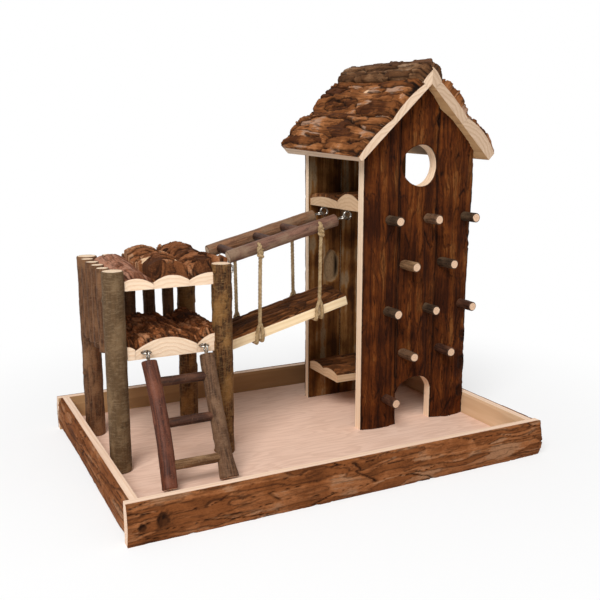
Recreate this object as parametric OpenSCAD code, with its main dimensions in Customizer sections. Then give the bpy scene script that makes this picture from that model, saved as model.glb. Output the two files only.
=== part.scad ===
// Small animal playground of bark-covered wood: a tray that carries a climbing tower,
// a house on posts, a hooked ladder and a bridge that hangs on ropes.
// Millimetres, +Z up. The origin is at the middle of the tray's underside, with +X along the
// tray towards the tower and +Y towards the back.

/* [Tray] */
// Outer length of the tray, along X
tray_length = 360; // [340:1:420]
// Outer width of the tray, along Y
tray_width = 260; // [240:1:320]
// Height of the tray rails
rail_h = 30.5; // [22:0.5:36]
// Thickness of a tray rail at the belly of its bark
rail_t = 10; // [8.5:0.5:14]
// Width of a tray rail's sawn top and bottom edges
rail_edge_t = 7; // [5:0.5:8]
// Thickness of the plywood floor
floor_t = 10; // [6:0.5:12]

/* [Tower walls] */
// Width of the tower, along X
tower_w = 111.5; // [104:0.5:120]
// Gap between the tower and the tray's right rail
tower_gap = 0.3; // [0.2:0.1:3]
// Inner face of the tower's front wall, along Y
tower_front_y = -21; // [-40:0.5:-12]
// Clear depth between the front and back walls
tower_d = 93; // [86:0.5:110]
// Height of the gable's peak above the ground, at the roof's front end
gable_z = 313.5; // [300:0.5:330]
// Width of the middle slab of each wall
wall_middle_w = 39.6; // [38:0.1:44]
// Thickness of the front wall at a slab's edges
front_edge_t = 10; // [8:0.5:14]
// Thickness of the front wall at a slab's belly
front_belly_t = 14; // [12:0.5:18]
// Thickness of the back wall at a slab's edges
back_edge_t = 7.5; // [6:0.5:10]
// Thickness of the back wall at a slab's belly
back_belly_t = 10.5; // [9:0.5:14]
// Diameter of the round window
window_d = 36; // [28:0.5:37]
// Height of the window's centre
window_z = 245.2; // [232:0.1:258]
// Width of the doorway
door_w = 40.6; // [34:0.2:46]
// Height of the doorway above the floor, to the top of its arch
door_h = 44.5; // [34:0.5:50]

/* [Tower roof] */
// Pitch of the roof, in degrees
roof_pitch = 44; // [38:0.5:48]
// Rise of the roof towards the back, in degrees
roof_rise = 2; // [0:0.5:3]
// Length of a slope along its underside, from the peak to the eave
roof_slope_length = 92; // [86:0.5:104]
// Width of a ridge slab along the underside
ridge_w = 5.5; // [4:0.5:9]
// Width of a middle slab
roof_middle_w = 42; // [34:0.5:46]
// Overhang of the roof in front of the front wall
roof_front_over = 11.3; // [6:0.1:20]
// Overhang of the roof behind the back wall
roof_back_over = 12; // [6:0.1:20]
// Thickness of a ridge slab at its edges
ridge_edge_t = 12; // [9:0.5:14]
// Thickness of a ridge slab at its crest
ridge_crest_t = 15.5; // [14.5:0.5:18]
// Thickness of the left slope's slabs at their edges
left_roof_edge_t = 9; // [6:0.5:11]
// Thickness of the left slope's slabs at their crest
left_roof_crest_t = 13; // [12:0.5:16]
// Thickness of the right slope's slabs at their edges
right_roof_edge_t = 10.5; // [8:0.5:12]
// Thickness of the right slope's slabs at their crest
right_roof_crest_t = 15.5; // [13:0.5:19]

/* [Tower shelves] */
// Underside of the upper shelf
upper_shelf_z = 205.8; // [194:0.1:214]
// Width of the upper shelf's front slab
upper_front_w = 39.5; // [30:0.5:55]
// Underside of the lower shelf
lower_shelf_z = 41.3; // [32:0.1:60]
// Depth of the lower shelf, from the back wall
lower_shelf_d = 55.6; // [45:0.2:70]
// Thickness of a shelf slab at its edges
shelf_edge_t = 8; // [6:0.5:10]
// Thickness of the other shelf slabs at their crest
shelf_crest_t = 11.5; // [10.5:0.5:15]
// Thickness of the upper shelf's front slab at its crest
upper_front_crest_t = 15.5; // [12:0.5:18]
// How far the shelves stop short of the tower's two sides
shelf_inset = 1.7; // [0.5:0.1:6]

/* [Climbing pegs] */
// Diameter of a climbing peg
peg_d = 8.6; // [6:0.2:10]
// How far a peg stands out of the wall's belly
peg_out = 17; // [12:0.5:26]
// Depth of a peg's blind hole from the wall's belly
peg_seat = 9; // [6:0.5:10]
// Distance of the first peg column from the tower's left edge
peg_first = 23.7; // [15:0.1:27]
// Spacing of the peg columns
peg_pitch = 40.2; // [38:0.1:41]
// How far the even rows are shifted sideways
peg_stagger = 18; // [17.5:0.1:19]
// Height of the lowest row of pegs above the floor
peg_low = 27.5; // [20:0.5:32]
// Height from one row of pegs to the next
peg_rise = 40.4; // [36:0.1:43]

/* [House on posts] */
// Gap between the left posts and the tray's left rail
house_gap = 4.4; // [2:0.1:8]
// Middle of the house between its posts, along Y
house_y = 22.75; // [10:0.25:35]
// Spacing of the posts along X
post_span_x = 87.5; // [80:0.5:96]
// Spacing of the posts along Y
post_span_y = 90.5; // [84:0.5:104]
// Diameter of a post
post_d = 16.6; // [15:0.2:20]
// Height of the posts' tops
post_top_z = 170.1; // [164:0.1:184]
// Diameter of a fence stick
stick_d = 10.4; // [8:0.2:12]
// How far the deck stops inside the left posts' axes
deck_left_in = 2; // [1:0.1:6]
// How far the deck runs past the right posts' axes
deck_right_past = 7.4; // [5:0.1:7.6]
// How far the deck runs past the front posts' axes
deck_front_past = 2.9; // [0:0.1:6]
// How far the deck stops inside the back posts' axes
deck_back_in = 6.25; // [4:0.05:9]
// Underside of the deck
deck_z = 99.5; // [84:0.5:112]
// Thickness of a deck slab at its edges
deck_edge_t = 11.5; // [9:0.5:14]
// Thickness of a deck slab at its crest
deck_crest_t = 16.5; // [15:0.5:21]
// Width of the deck's left slab
deck_left_w = 12.4; // [9:0.2:16]
// Rise of the deck's left slab from its edges to its crest
deck_left_rise = 1.1; // [0.6:0.1:2.5]
// Width of the deck's middle slab
deck_middle_w = 50.7; // [40:0.1:56]
// Underside of the house roof
house_roof_z = 154.2; // [147:0.1:158]
// Thickness of a house roof slab at its edges
house_roof_edge_t = 9; // [8:0.5:11.5]
// Thickness of the house roof's middle and right slabs at their crest
house_roof_crest_t = 17; // [14:0.5:19]
// Thickness of the house roof's left slab at its crest
house_roof_left_crest_t = 13; // [12:0.5:16]
// Width of the house roof's left slab
house_roof_left_w = 28.8; // [20:0.2:34]
// Width of the house roof's middle slab
house_roof_middle_w = 28.7; // [20:0.1:36]

/* [Screw eyes] */
// Radius of an eye's ring, to the middle of its wire
eye_r = 3.6; // [3:0.1:4.4]
// Diameter of an eye's wire
eye_wire_d = 1.6; // [1.2:0.1:1.8]
// Length of an eye's shank in the wood
eye_screw_length = 7.5; // [5:0.5:8]
// Gap between two linked rings
eye_gap = 0.35; // [0.3:0.05:0.6]

/* [Ladder] */
// Spacing of the ladder's rails
ladder_w = 47; // [40:0.5:54]
// Distance of the ladder's middle from the house's middle, along X
ladder_shift = 1.4; // [-4:0.1:4]
// Lean of the ladder from upright, in degrees
ladder_lean = 27; // [20:0.5:29]
// Height of the ladder's eyes above the deck's underside
ladder_eye_up = 6.5; // [4:0.5:8]
// Diameter of a ladder rail
ladder_rail_d = 12; // [9:0.5:13]
// Inward bow of the left ladder rail at its middle
ladder_bow = 1.8; // [0.8:0.1:2.4]
// Diameter of the right ladder rail's flared foot
ladder_flare_d = 13.4; // [13:0.2:15]
// Diameter of a rung
rung_d = 7.4; // [5:0.2:8.4]
// Depth of a rung's blind hole in its rail
rung_seat = 4.6; // [4:0.2:6]
// Distance of the top rung from the ladder's top end
ladder_rung_first = 17; // [14:0.5:24]
// Spacing of the ladder's rungs
ladder_rung_pitch = 32; // [26:0.5:33]

/* [Hanging bridge] */
// Spacing of the bridge's two rails, along Y
bridge_w = 53.5; // [46:0.5:58]
// Diameter of a bridge rail
bridge_rail_d = 11; // [8:0.5:12]
// How far a bridge rail runs past the eye under its left end
bridge_rail_past = 3.6; // [3:0.1:5]
// Distance of the first bridge rung from the rails' left ends
bridge_rung_1_at = 11.5; // [9.5:0.5:14]
// Distance of the second bridge rung from the rails' left ends
bridge_rung_2_at = 47; // [42:0.5:55]
// Distance of the third bridge rung from the rails' left ends
bridge_rung_3_at = 75; // [68:0.5:77]
// Height of the bridge's eyes above the house roof's underside
house_eye_up = 6.3; // [4:0.1:7]
// Drop from a rail's axis to the board's edge
rope_drop = 71; // [58:0.5:78]
// Thickness of the board at its edges
board_edge_t = 9; // [7:0.5:12]
// Thickness of the board at its crest
board_crest_t = 12.5; // [11:0.5:16]
// Gap between the house and the board's left end
board_gap = 2.4; // [2:0.1:8]
// How far the board reaches into the tower
board_in = 1; // [0:0.1:3]
// Distance of the left ropes from the board's left end
rope_left_in = 32.1; // [28:0.1:35]
// Distance of the right ropes from the board's right end
rope_right_in = 28; // [22:0.1:30]
// Diameter of the jute rope
rope_d = 3.5; // [2.4:0.1:4]
// Sway of the ropes to either side, in degrees, that their blind holes leave room for
rope_sway = 10; // [4:1:12]
// Diameter of the knot under a rail
knot_d = 6; // [5:0.2:7]

/* [Fits] */
// Clearance of a peg, rung or screw in its hole
seat_fit = 0.1; // [0.05:0.05:0.2]
// Gap between a round stick and what it is fixed against
stick_fit = 0.2; // [0.1:0.05:0.3]
// Gap between pieces that move past each other
move_fit = 0.35; // [0.3:0.05:0.5]
// Waist of a cut stick, as a share of its thickness
stick_waist = 0.04; // [0.01:0.01:0.08]

/* [Hidden] */
// Roundness of what isn't drawn exactly, and how far a cutter runs past the faces it cuts
$fn = 96;
wire_fn = 48;
bark_fn = 240;
bow_fn = 720;
cut_over = 5;

// Colours
wood_pale = "#e6c9a4";
ply_tan = "#d6b294";
bark_rail = "#6e4526";
bark_tower = "#54301c";
bark_roof = "#6b432b";
bark_shelf = "#5f3a24";
bark_post = "#665642";
bark_red = "#5e3024";
bark_stick = "#7a5238";
jute_tan = "#a58c62";
steel_grey = "#c3c5c8";

// Tray
inner_x = tray_length / 2 - rail_t;
inner_y = tray_width / 2 - rail_t;

// Tower, its gable and its roof
tower_right_x = inner_x - tower_gap;
tower_left_x = tower_right_x - tower_w;
tower_x = tower_left_x + tower_w / 2;
tower_back_y = tower_front_y + tower_d;
wall_side_w = (tower_w - wall_middle_w) / 2;
wall_middle_x = tower_left_x + wall_side_w;
wall_right_x = tower_right_x - wall_side_w;
front_belly_y = tower_front_y - front_belly_t;
back_belly_y = tower_back_y + back_belly_t;
roof_front_y = front_belly_y - roof_front_over;
roof_l = back_belly_y + roof_back_over - roof_front_y;
roof_eave_w = roof_slope_length - ridge_w - roof_middle_w;
ridge_lap = ridge_crest_t * tan(roof_pitch);
gable_drop = tower_w * tan(roof_pitch);
shelf_x = tower_left_x + shelf_inset;
shelf_l = tower_w - 2 * shelf_inset;

// Pegs: odd rows have three columns, even rows two, and only one stands beside the doorway
pegs_in_rows = [1, 2, 3, 2, 3];
peg_row_last = len(pegs_in_rows) - 1;
function peg_x(row, column) =
    tower_left_x + peg_first + (row % 2) * peg_stagger + column * peg_pitch;
function peg_z(row) = floor_t + peg_low + row * peg_rise;

// House
post_left_x = house_gap + post_d / 2 - inner_x;
post_right_x = post_left_x + post_span_x;
house_x = post_left_x + post_span_x / 2;
post_front_y = house_y - post_span_y / 2;
post_back_y = house_y + post_span_y / 2;
post_places = [
    [post_left_x, post_front_y],
    [post_right_x, post_front_y],
    [post_left_x, post_back_y],
    [post_right_x, post_back_y]
];
deck_left_x = post_left_x + deck_left_in;
deck_right_x = post_right_x + deck_right_past;
deck_front_y = post_front_y - deck_front_past;
deck_back_y = post_back_y - deck_back_in;
deck_l = deck_back_y - deck_front_y;
deck_w = deck_right_x - deck_left_x;
stick_l = post_top_z - deck_z;
stick_off = stick_d / 2 + stick_fit;
sticks_per_side = 4;
// Sticks in each node of a fence side: the third node carries the last two
stick_numbers = [[1], [2], [3, 4]];

// Screw eyes: distance from the wood to the ring's centre, and between two linked rings' centres
wire_r = eye_wire_d / 2;
eye_stand = 0.2;
eye_out = eye_r + wire_r + eye_stand;
eye_link = 2 * eye_r - eye_wire_d - eye_gap;

// Ladder, hung from the far wire of the deck's eyes
ladder_x = house_x + ladder_shift;
ladder_axis_y = deck_front_y - eye_out - eye_r;
ladder_axis_z = deck_z + ladder_eye_up;
ladder_ring_down = eye_r - eye_wire_d - eye_gap;
ladder_top_down = ladder_ring_down + eye_out;
ladder_foot_r = ladder_flare_d / 2;
ladder_foot_z = floor_t + move_fit + ladder_foot_r * sin(ladder_lean);
ladder_reach = (ladder_axis_z - ladder_foot_z) / cos(ladder_lean);
ladder_l = ladder_reach - ladder_top_down;
ladder_flare_l = ladder_rail_d;
ladder_rung_last = 2;

// Bridge: its rails' axis runs from above the house's eyes through the middle of the shelf's eyes
bridge_y = tower_front_y + tower_d / 2;
bridge_front_y = bridge_y - bridge_w / 2;
bridge_back_y = bridge_y + bridge_w / 2;
bridge_rail_r = bridge_rail_d / 2;
house_eye_x = deck_right_x + eye_out;
house_eye_z = house_roof_z + house_eye_up;
low_eye_x = house_eye_x + eye_link;
shelf_eye_x = shelf_x + eye_r + wire_r;
shelf_eye_z = upper_shelf_z - eye_out;
eye_rise = shelf_eye_z - house_eye_z - eye_out;
eye_run = shelf_eye_x - low_eye_x;
slope_guess = 15;
slope_turns = 4;
function bridge_slope(guess, turns) =
    turns == 0 ? guess : bridge_slope(atan((eye_rise - bridge_rail_r / cos(guess)) / eye_run), turns - 1);
slope = bridge_slope(slope_guess, slope_turns);
function axis_z(x) = shelf_eye_z - (shelf_eye_x - x) * tan(slope);
rail_left_x = low_eye_x - bridge_rail_past;
rail_end_x = shelf_eye_x - (eye_link + eye_out) * cos(slope);
bridge_rail_l = (rail_end_x - rail_left_x) / cos(slope);

// Board and its ropes
rope_r = rope_d / 2;
board_left_x = max(deck_right_x, post_right_x + post_d / 2) + board_gap;
board_right_x = tower_left_x + board_in;
board_l = (board_right_x - board_left_x) / cos(slope);
board_w = bridge_w - 2 * (rope_r + move_fit);
board_front_y = bridge_y - board_w / 2;
rope_left_x = board_left_x + rope_left_in;
rope_right_x = board_right_x - rope_right_in;
rope_places = [rope_left_x, rope_right_x];
rope_hole_r = rope_r / cos(rope_sway) + move_fit;
rope_mouth_r = rope_hole_r + bridge_rail_d * tan(rope_sway);
knot_down = (bridge_rail_r + move_fit + knot_d / 2) / cos(slope);

// Section of a slab sawn from the outside of a log: a flat sawn face, two sawn edges and a
// round bark face. Width along X, thickness along Y.
module slab_section(w, edge_t, crest_t) {
    sag = crest_t - edge_t;
    bark_r = (w * w / 4 + sag * sag) / (2 * sag);
    intersection() {
        square([w, 2 * crest_t]);
        translate([w / 2, crest_t - bark_r]) circle(bark_r, $fn = bark_fn);
    }
}

// Slab lying along +X, with its sawn face down and its width along +Y
module slab_along_x(l, w, edge_t, crest_t) {
    rotate([90, 0, 90]) linear_extrude(l) slab_section(w, edge_t, crest_t);
}

// Slab lying along +Y, with its sawn face down and its width along +X
module slab_along_y(l, w, edge_t, crest_t) {
    translate([0, l, 0]) rotate([90, 0, 0]) linear_extrude(l) slab_section(w, edge_t, crest_t);
}

// Cut branch standing on its end, a little slimmer at its waist
module stick(l, d) {
    waist_r = d / 2 * (1 - stick_waist);
    rotate_extrude() polygon([[0, 0], [d / 2, 0], [waist_r, l / 2], [d / 2, l], [0, l]]);
}

// Branch that bows towards +X, hanging down from the origin
module bowed_stick(l, d, bow) {
    bow_r = l * l / (8 * bow) + bow / 2;
    half_turn = asin(l / 2 / bow_r);
    spare_turn = asin(d / bow_r);
    turn = half_turn + spare_turn;
    intersection() {
        translate([-bow_r * cos(half_turn), 0, -l / 2])
            rotate([90, 0, 0]) rotate([0, 0, -turn]) rotate_extrude(angle = 2 * turn, $fn = bow_fn)
                translate([bow_r, 0]) circle(d / 2);
        translate([-d - bow, -d, -l]) cube([2 * d + 2 * bow, 2 * d, l]);
    }
}

// Screw eye: its ring stands in the XZ plane round the origin and its shank points down
module screw_eye() {
    shank_l = eye_out - eye_r + eye_screw_length;
    rotate([90, 0, 0]) rotate_extrude() translate([eye_r, 0]) circle(wire_r, $fn = wire_fn);
    translate([0, 0, -eye_r - shank_l]) cylinder(h = shank_l, r = wire_r, $fn = wire_fn);
}

// Pilot hole for a screw eye whose ring's centre is at the origin
module eye_pilot() {
    hole_l = eye_screw_length + eye_wire_d;
    translate([0, 0, wire_r - eye_out - hole_l])
        cylinder(h = hole_l, r = wire_r + seat_fit, $fn = wire_fn);
}

// Puts its children at the deck's eyes, with their shanks pointing into the deck
module at_deck_eyes() {
    for (side = [-1, 1])
        translate([ladder_x + side * ladder_w / 2, deck_front_y - eye_out, ladder_axis_z])
            rotate([90, 0, 0]) children();
}

// Puts its children at the eyes on the house roof's right edge, with their shanks pointing left
module at_house_eyes() {
    for (y = [bridge_front_y, bridge_back_y])
        translate([house_eye_x, y, house_eye_z]) rotate([0, 90, 0]) rotate([0, 0, 90]) children();
}

// Puts its children at the eyes under the upper shelf, with their shanks pointing up
module at_shelf_eyes() {
    for (y = [bridge_front_y, bridge_back_y])
        translate([shelf_eye_x, y, shelf_eye_z]) rotate([180, 0, 0]) children();
}

// Puts its children on one bridge rail's axis, with +X up the slope from the rail's left end
module on_bridge_rail(y) {
    translate([rail_left_x, y, axis_z(rail_left_x)]) rotate([0, -slope, 0]) children();
}

// Puts its children at the eye under a bridge rail's left end, with the shank pointing up
module at_low_eye(y) {
    translate([low_eye_x, y, house_eye_z]) rotate([180, 0, 0]) children();
}

// Puts its children at the eye in a bridge rail's right end, with the shank pointing into the rail
module at_high_eye(y) {
    on_bridge_rail(y) translate([bridge_rail_l + eye_out, 0, 0])
        rotate([0, 90, 0]) rotate([0, 0, 90]) children();
}

// Puts its children in the ladder's own frame: it hangs down -Z from its hinge axis
module in_ladder_frame() {
    translate([ladder_x, ladder_axis_y, ladder_axis_z]) rotate([-ladder_lean, 0, 0]) children();
}

// Tray rail along +X, standing on its edge with its bark face towards -Y
module tray_rail(l) {
    rotate([90, 0, 90]) linear_extrude(l)
        translate([rail_t, 0]) rotate(90) slab_section(rail_h, rail_edge_t, rail_t);
}

// Puts its children at the front end of the gable's peak, with +Y along the roof towards the back
module in_roof_frame() {
    translate([tower_x, roof_front_y, gable_z]) rotate([roof_rise, 0, 0]) children();
}

// Everything under the tower's roof planes
module under_gable() {
    in_roof_frame() translate([0, tray_width, 0]) rotate([90, 0, 0]) linear_extrude(2 * tray_width)
        polygon([
            [-tower_w, -2 * gable_z], [tower_w, -2 * gable_z], [tower_w, -gable_drop],
            [0, 0], [-tower_w, -gable_drop]
        ]);
}

// Doorway with a round arch, cut through the front wall
module doorway() {
    arch_z = floor_t + door_h - door_w / 2;
    translate([tower_x, tower_front_y + cut_over, 0])
        rotate([90, 0, 0]) linear_extrude(front_belly_t + 2 * cut_over) {
            translate([0, arch_z]) circle(d = door_w);
            translate([-door_w / 2, 0]) square([door_w, arch_z]);
        }
}

// Round window, cut through the front wall
module window() {
    translate([tower_x, tower_front_y + cut_over, window_z])
        rotate([90, 0, 0]) cylinder(h = front_belly_t + 2 * cut_over, d = window_d);
}

// Climbing peg that points out of the wall's belly, with its tip a little slimmer
module peg(d, out, seat) {
    tip_r = d / 2 * (1 - stick_waist);
    rotate([90, 0, 0]) translate([0, 0, -seat]) rotate_extrude()
        polygon([[0, 0], [d / 2, 0], [d / 2, seat], [tip_r, seat + out], [0, seat + out]]);
}

// Puts its children at each peg of a row, on the wall's belly plane
module at_pegs(row) {
    for (column = [0:pegs_in_rows[row] - 1])
        translate([peg_x(row, column), front_belly_y, peg_z(row)]) children();
}

// One slab of the front wall, from x to x + w
module front_wall_slab(x, w) {
    color(bark_tower) difference() {
        intersection() {
            translate([x, tower_front_y, floor_t]) linear_extrude(gable_z)
                mirror([0, 1]) slab_section(w, front_edge_t, front_belly_t);
            under_gable();
        }
        doorway();
        window();
        for (row = [0:peg_row_last])
            at_pegs(row) peg(peg_d + 2 * seat_fit, peg_out, peg_seat);
    }
}

// One slab of the back wall, from x to x + w
module back_wall_slab(x, w) {
    color(bark_tower) intersection() {
        translate([x, tower_back_y, floor_t]) linear_extrude(gable_z)
            slab_section(w, back_edge_t, back_belly_t);
        under_gable();
    }
}

// One slab of a tower shelf, from y to y + w
module shelf_slab(y, w, z, crest_t) {
    translate([shelf_x, y, z]) slab_along_x(shelf_l, w, shelf_edge_t, crest_t);
}

// One slab of the tower's right slope, from s to s + w down its underside
module right_roof_slab(s, w, edge_t, crest_t) {
    in_roof_frame() rotate([0, roof_pitch, 0])
        translate([s, 0, 0]) slab_along_y(roof_l, w, edge_t, crest_t);
}

// The same slab on the left slope
module left_roof_slab(s, w, edge_t, crest_t) {
    translate([2 * tower_x, 0, 0]) mirror([1, 0, 0]) right_roof_slab(s, w, edge_t, crest_t);
}

// Ridge slab of the right slope, cut upright at the ridge
module right_ridge() {
    intersection() {
        right_roof_slab(-ridge_lap, ridge_w + ridge_lap, ridge_edge_t, ridge_crest_t);
        in_roof_frame() translate([0, -cut_over, -gable_z])
            cube([tower_w, roof_l + 2 * cut_over, gable_z + 2 * ridge_crest_t]);
    }
}

// House slab along Y from x to x + w, coped round the posts
module house_slab(x, w, z, edge_t, crest_t) {
    difference() {
        translate([x, deck_front_y, z]) slab_along_y(deck_l, w, edge_t, crest_t);
        for (place = post_places)
            translate([place[0], place[1], 0])
                cylinder(h = post_top_z + cut_over, d = post_d + 2 * stick_fit);
    }
}

// Ladder rail's blind holes: one for its eye and one for each rung
module ladder_rail_holes(side) {
    translate([0, 0, -ladder_ring_down]) eye_pilot();
    for (rung = [0:ladder_rung_last])
        translate([-side * (ladder_rail_d / 2 - rung_seat), 0, ladder_rung_z(rung)])
            rotate([0, -side * 90, 0]) cylinder(h = ladder_rail_d, d = rung_d + 2 * seat_fit);
}

function ladder_rung_z(rung) = -ladder_top_down - ladder_rung_first - rung * ladder_rung_pitch;

// Rung of a given length along X, centred
module rung(l) {
    translate([-l / 2, 0, 0]) rotate([0, 90, 0]) cylinder(h = l, d = rung_d);
}

module ladder_rung(rung) {
    rung_l = ladder_w - ladder_rail_d + 2 * rung_seat - 2 * seat_fit;
    color(bark_stick) in_ladder_frame() translate([0, 0, ladder_rung_z(rung)]) rung(rung_l);
}

// Blind hole for a rope's round top, on the rail's axis, that widens downwards for the rope's sway
module rope_hole() {
    sphere(r = rope_hole_r, $fn = wire_fn);
    translate([0, 0, -bridge_rail_d])
        cylinder(h = bridge_rail_d, r1 = rope_mouth_r, r2 = rope_hole_r, $fn = wire_fn);
}

// Bridge rail with its blind holes: side is 1 where the rungs lie towards +Y
module bridge_rail(y, side) {
    color(bark_stick) difference() {
        on_bridge_rail(y) rotate([0, 90, 0]) stick(bridge_rail_l, bridge_rail_d);
        at_low_eye(y) eye_pilot();
        at_high_eye(y) eye_pilot();
        on_bridge_rail(y)
            for (at = [bridge_rung_1_at, bridge_rung_2_at, bridge_rung_3_at])
                translate([at, side * (bridge_rail_r - rung_seat), 0])
                    rotate([-side * 90, 0, 0]) cylinder(h = bridge_rail_d, d = rung_d + 2 * seat_fit);
        for (x = rope_places)
            translate([x, y, axis_z(x)]) rope_hole();
    }
}

module bridge_rung(at) {
    rung_l = bridge_w - bridge_rail_d + 2 * rung_seat - 2 * seat_fit;
    color(bark_stick) on_bridge_rail(bridge_y) translate([at, 0, 0]) rotate([0, 0, 90]) rung(rung_l);
}

// Rope from its hole in a bridge rail, with its knot under the rail, down to the board's edge
module hanging_rope(x, y) {
    translate([x, y, axis_z(x)]) {
        translate([0, 0, -knot_down]) sphere(d = knot_d);
        sphere(r = rope_r, $fn = wire_fn);
        translate([0, 0, rope_r - rope_drop]) {
            cylinder(h = rope_drop - rope_r, r = rope_r, $fn = wire_fn);
            sphere(r = rope_r, $fn = wire_fn);
        }
    }
}

// Rope round the underside of the board, between the lower ends of two hanging ropes
module sling(x) {
    edge_z = axis_z(x) - rope_drop - move_fit;
    under_z = axis_z(x) - rope_drop - (board_edge_t + rope_r + move_fit) / cos(slope);
    translate([x, bridge_front_y, under_z]) {
        cylinder(h = edge_z - under_z, r = rope_r, $fn = wire_fn);
        sphere(r = rope_r, $fn = wire_fn);
        rotate([-90, 0, 0]) cylinder(h = bridge_w, r = rope_r, $fn = wire_fn);
        translate([0, bridge_w, 0]) {
            cylinder(h = edge_z - under_z, r = rope_r, $fn = wire_fn);
            sphere(r = rope_r, $fn = wire_fn);
        }
    }
}

module floor_board() {
    color(ply_tan) translate([-inner_x, -inner_y, 0]) cube([2 * inner_x, 2 * inner_y, floor_t]);
}

module front_rail() {
    color(bark_rail) translate([-tray_length / 2, -tray_width / 2, 0]) tray_rail(tray_length);
}

module back_rail() {
    rotate([0, 0, 180]) front_rail();
}

module left_rail() {
    color(bark_rail) rotate([0, 0, -90]) translate([-inner_y, -tray_length / 2, 0]) tray_rail(2 * inner_y);
}

module right_rail() {
    color(bark_rail) rotate([0, 0, 90]) translate([-inner_y, -tray_length / 2, 0]) tray_rail(2 * inner_y);
}

module upper_shelf_front_slab() {
    color(bark_shelf) difference() {
        shelf_slab(tower_front_y, upper_front_w, upper_shelf_z, upper_front_crest_t);
        at_shelf_eyes() eye_pilot();
    }
}

module upper_shelf_back_slab() {
    color(bark_shelf) difference() {
        shelf_slab(tower_front_y + upper_front_w, tower_d - upper_front_w, upper_shelf_z, shelf_crest_t);
        at_shelf_eyes() eye_pilot();
    }
}

module lower_shelf_front_slab() {
    front_y = tower_back_y - lower_shelf_d;
    color(bark_shelf) shelf_slab(front_y, lower_shelf_d / 2, lower_shelf_z, shelf_crest_t);
}

module lower_shelf_back_slab() {
    front_y = tower_back_y - lower_shelf_d / 2;
    color(bark_shelf) shelf_slab(front_y, lower_shelf_d / 2, lower_shelf_z, shelf_crest_t);
}

module roof_right_ridge_slab() {
    color(bark_roof) right_ridge();
}

module roof_right_middle_slab() {
    color(bark_roof) right_roof_slab(ridge_w, roof_middle_w, right_roof_edge_t, right_roof_crest_t);
}

module roof_right_eave_slab() {
    color(bark_roof)
        right_roof_slab(ridge_w + roof_middle_w, roof_eave_w, right_roof_edge_t, right_roof_crest_t);
}

module roof_left_ridge_slab() {
    color(bark_roof) translate([2 * tower_x, 0, 0]) mirror([1, 0, 0]) right_ridge();
}

module roof_left_middle_slab() {
    color(bark_roof) left_roof_slab(ridge_w, roof_middle_w, left_roof_edge_t, left_roof_crest_t);
}

module roof_left_eave_slab() {
    color(bark_roof)
        left_roof_slab(ridge_w + roof_middle_w, roof_eave_w, left_roof_edge_t, left_roof_crest_t);
}

module climbing_pegs(row) {
    color(wood_pale) at_pegs(row) peg(peg_d, peg_out, peg_seat - seat_fit);
}

module post(number) {
    color(bark_post) translate([post_places[number][0], post_places[number][1], floor_t])
        stick(post_top_z - floor_t, post_d);
}

module fence_left_stick(place) {
    step_y = post_span_y / (sticks_per_side + 1);
    color(bark_post) for (number = stick_numbers[place])
        translate([deck_left_x - stick_off, post_front_y + number * step_y, deck_z]) stick(stick_l, stick_d);
}

module fence_back_stick(place) {
    step_x = post_span_x / (sticks_per_side + 1);
    color(bark_post) for (number = stick_numbers[place])
        translate([post_left_x + number * step_x, deck_back_y + stick_off, deck_z]) stick(stick_l, stick_d);
}

module deck_left_slab() {
    crest_t = deck_edge_t + deck_left_rise;
    color(bark_shelf) house_slab(deck_left_x, deck_left_w, deck_z, deck_edge_t, crest_t);
}

module deck_middle_slab() {
    color(bark_shelf) difference() {
        house_slab(deck_left_x + deck_left_w, deck_middle_w, deck_z, deck_edge_t, deck_crest_t);
        at_deck_eyes() eye_pilot();
    }
}

module deck_right_slab() {
    right_w = deck_w - deck_left_w - deck_middle_w;
    color(bark_shelf) difference() {
        house_slab(deck_right_x - right_w, right_w, deck_z, deck_edge_t, deck_crest_t);
        at_deck_eyes() eye_pilot();
    }
}

module house_roof_left_slab() {
    color(bark_roof)
        house_slab(deck_left_x, house_roof_left_w, house_roof_z, house_roof_edge_t, house_roof_left_crest_t);
}

module house_roof_middle_slab() {
    middle_x = deck_left_x + house_roof_left_w;
    color(bark_roof)
        house_slab(middle_x, house_roof_middle_w, house_roof_z, house_roof_edge_t, house_roof_crest_t);
}

module house_roof_right_slab() {
    right_w = deck_w - house_roof_left_w - house_roof_middle_w;
    color(bark_roof) difference() {
        house_slab(deck_right_x - right_w, right_w, house_roof_z, house_roof_edge_t, house_roof_crest_t);
        at_house_eyes() eye_pilot();
    }
}

module ladder_left_rail() {
    color(bark_red) in_ladder_frame() translate([-ladder_w / 2, 0, 0]) difference() {
        translate([0, 0, -ladder_top_down])
            bowed_stick(ladder_l, ladder_rail_d, ladder_bow);
        ladder_rail_holes(-1);
    }
}

module ladder_right_rail() {
    color(bark_post) in_ladder_frame() translate([ladder_w / 2, 0, 0]) difference() {
        translate([0, 0, -ladder_reach]) union() {
            cylinder(h = ladder_flare_l, d1 = ladder_flare_d, d2 = ladder_rail_d);
            translate([0, 0, ladder_flare_l]) stick(ladder_l - ladder_flare_l, ladder_rail_d);
        }
        ladder_rail_holes(1);
    }
}

module ladder_eyes() {
    color(steel_grey) in_ladder_frame() for (side = [-1, 1])
        translate([side * ladder_w / 2, 0, -ladder_ring_down]) rotate([0, 0, 90]) screw_eye();
}

module deck_eyes() {
    color(steel_grey) at_deck_eyes() screw_eye();
}

module bridge_rail_eyes() {
    color(steel_grey) for (y = [bridge_front_y, bridge_back_y]) {
        at_low_eye(y) screw_eye();
        at_high_eye(y) screw_eye();
    }
}

module bridge_carrier_eyes() {
    color(steel_grey) {
        at_house_eyes() screw_eye();
        at_shelf_eyes() screw_eye();
    }
}

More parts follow.
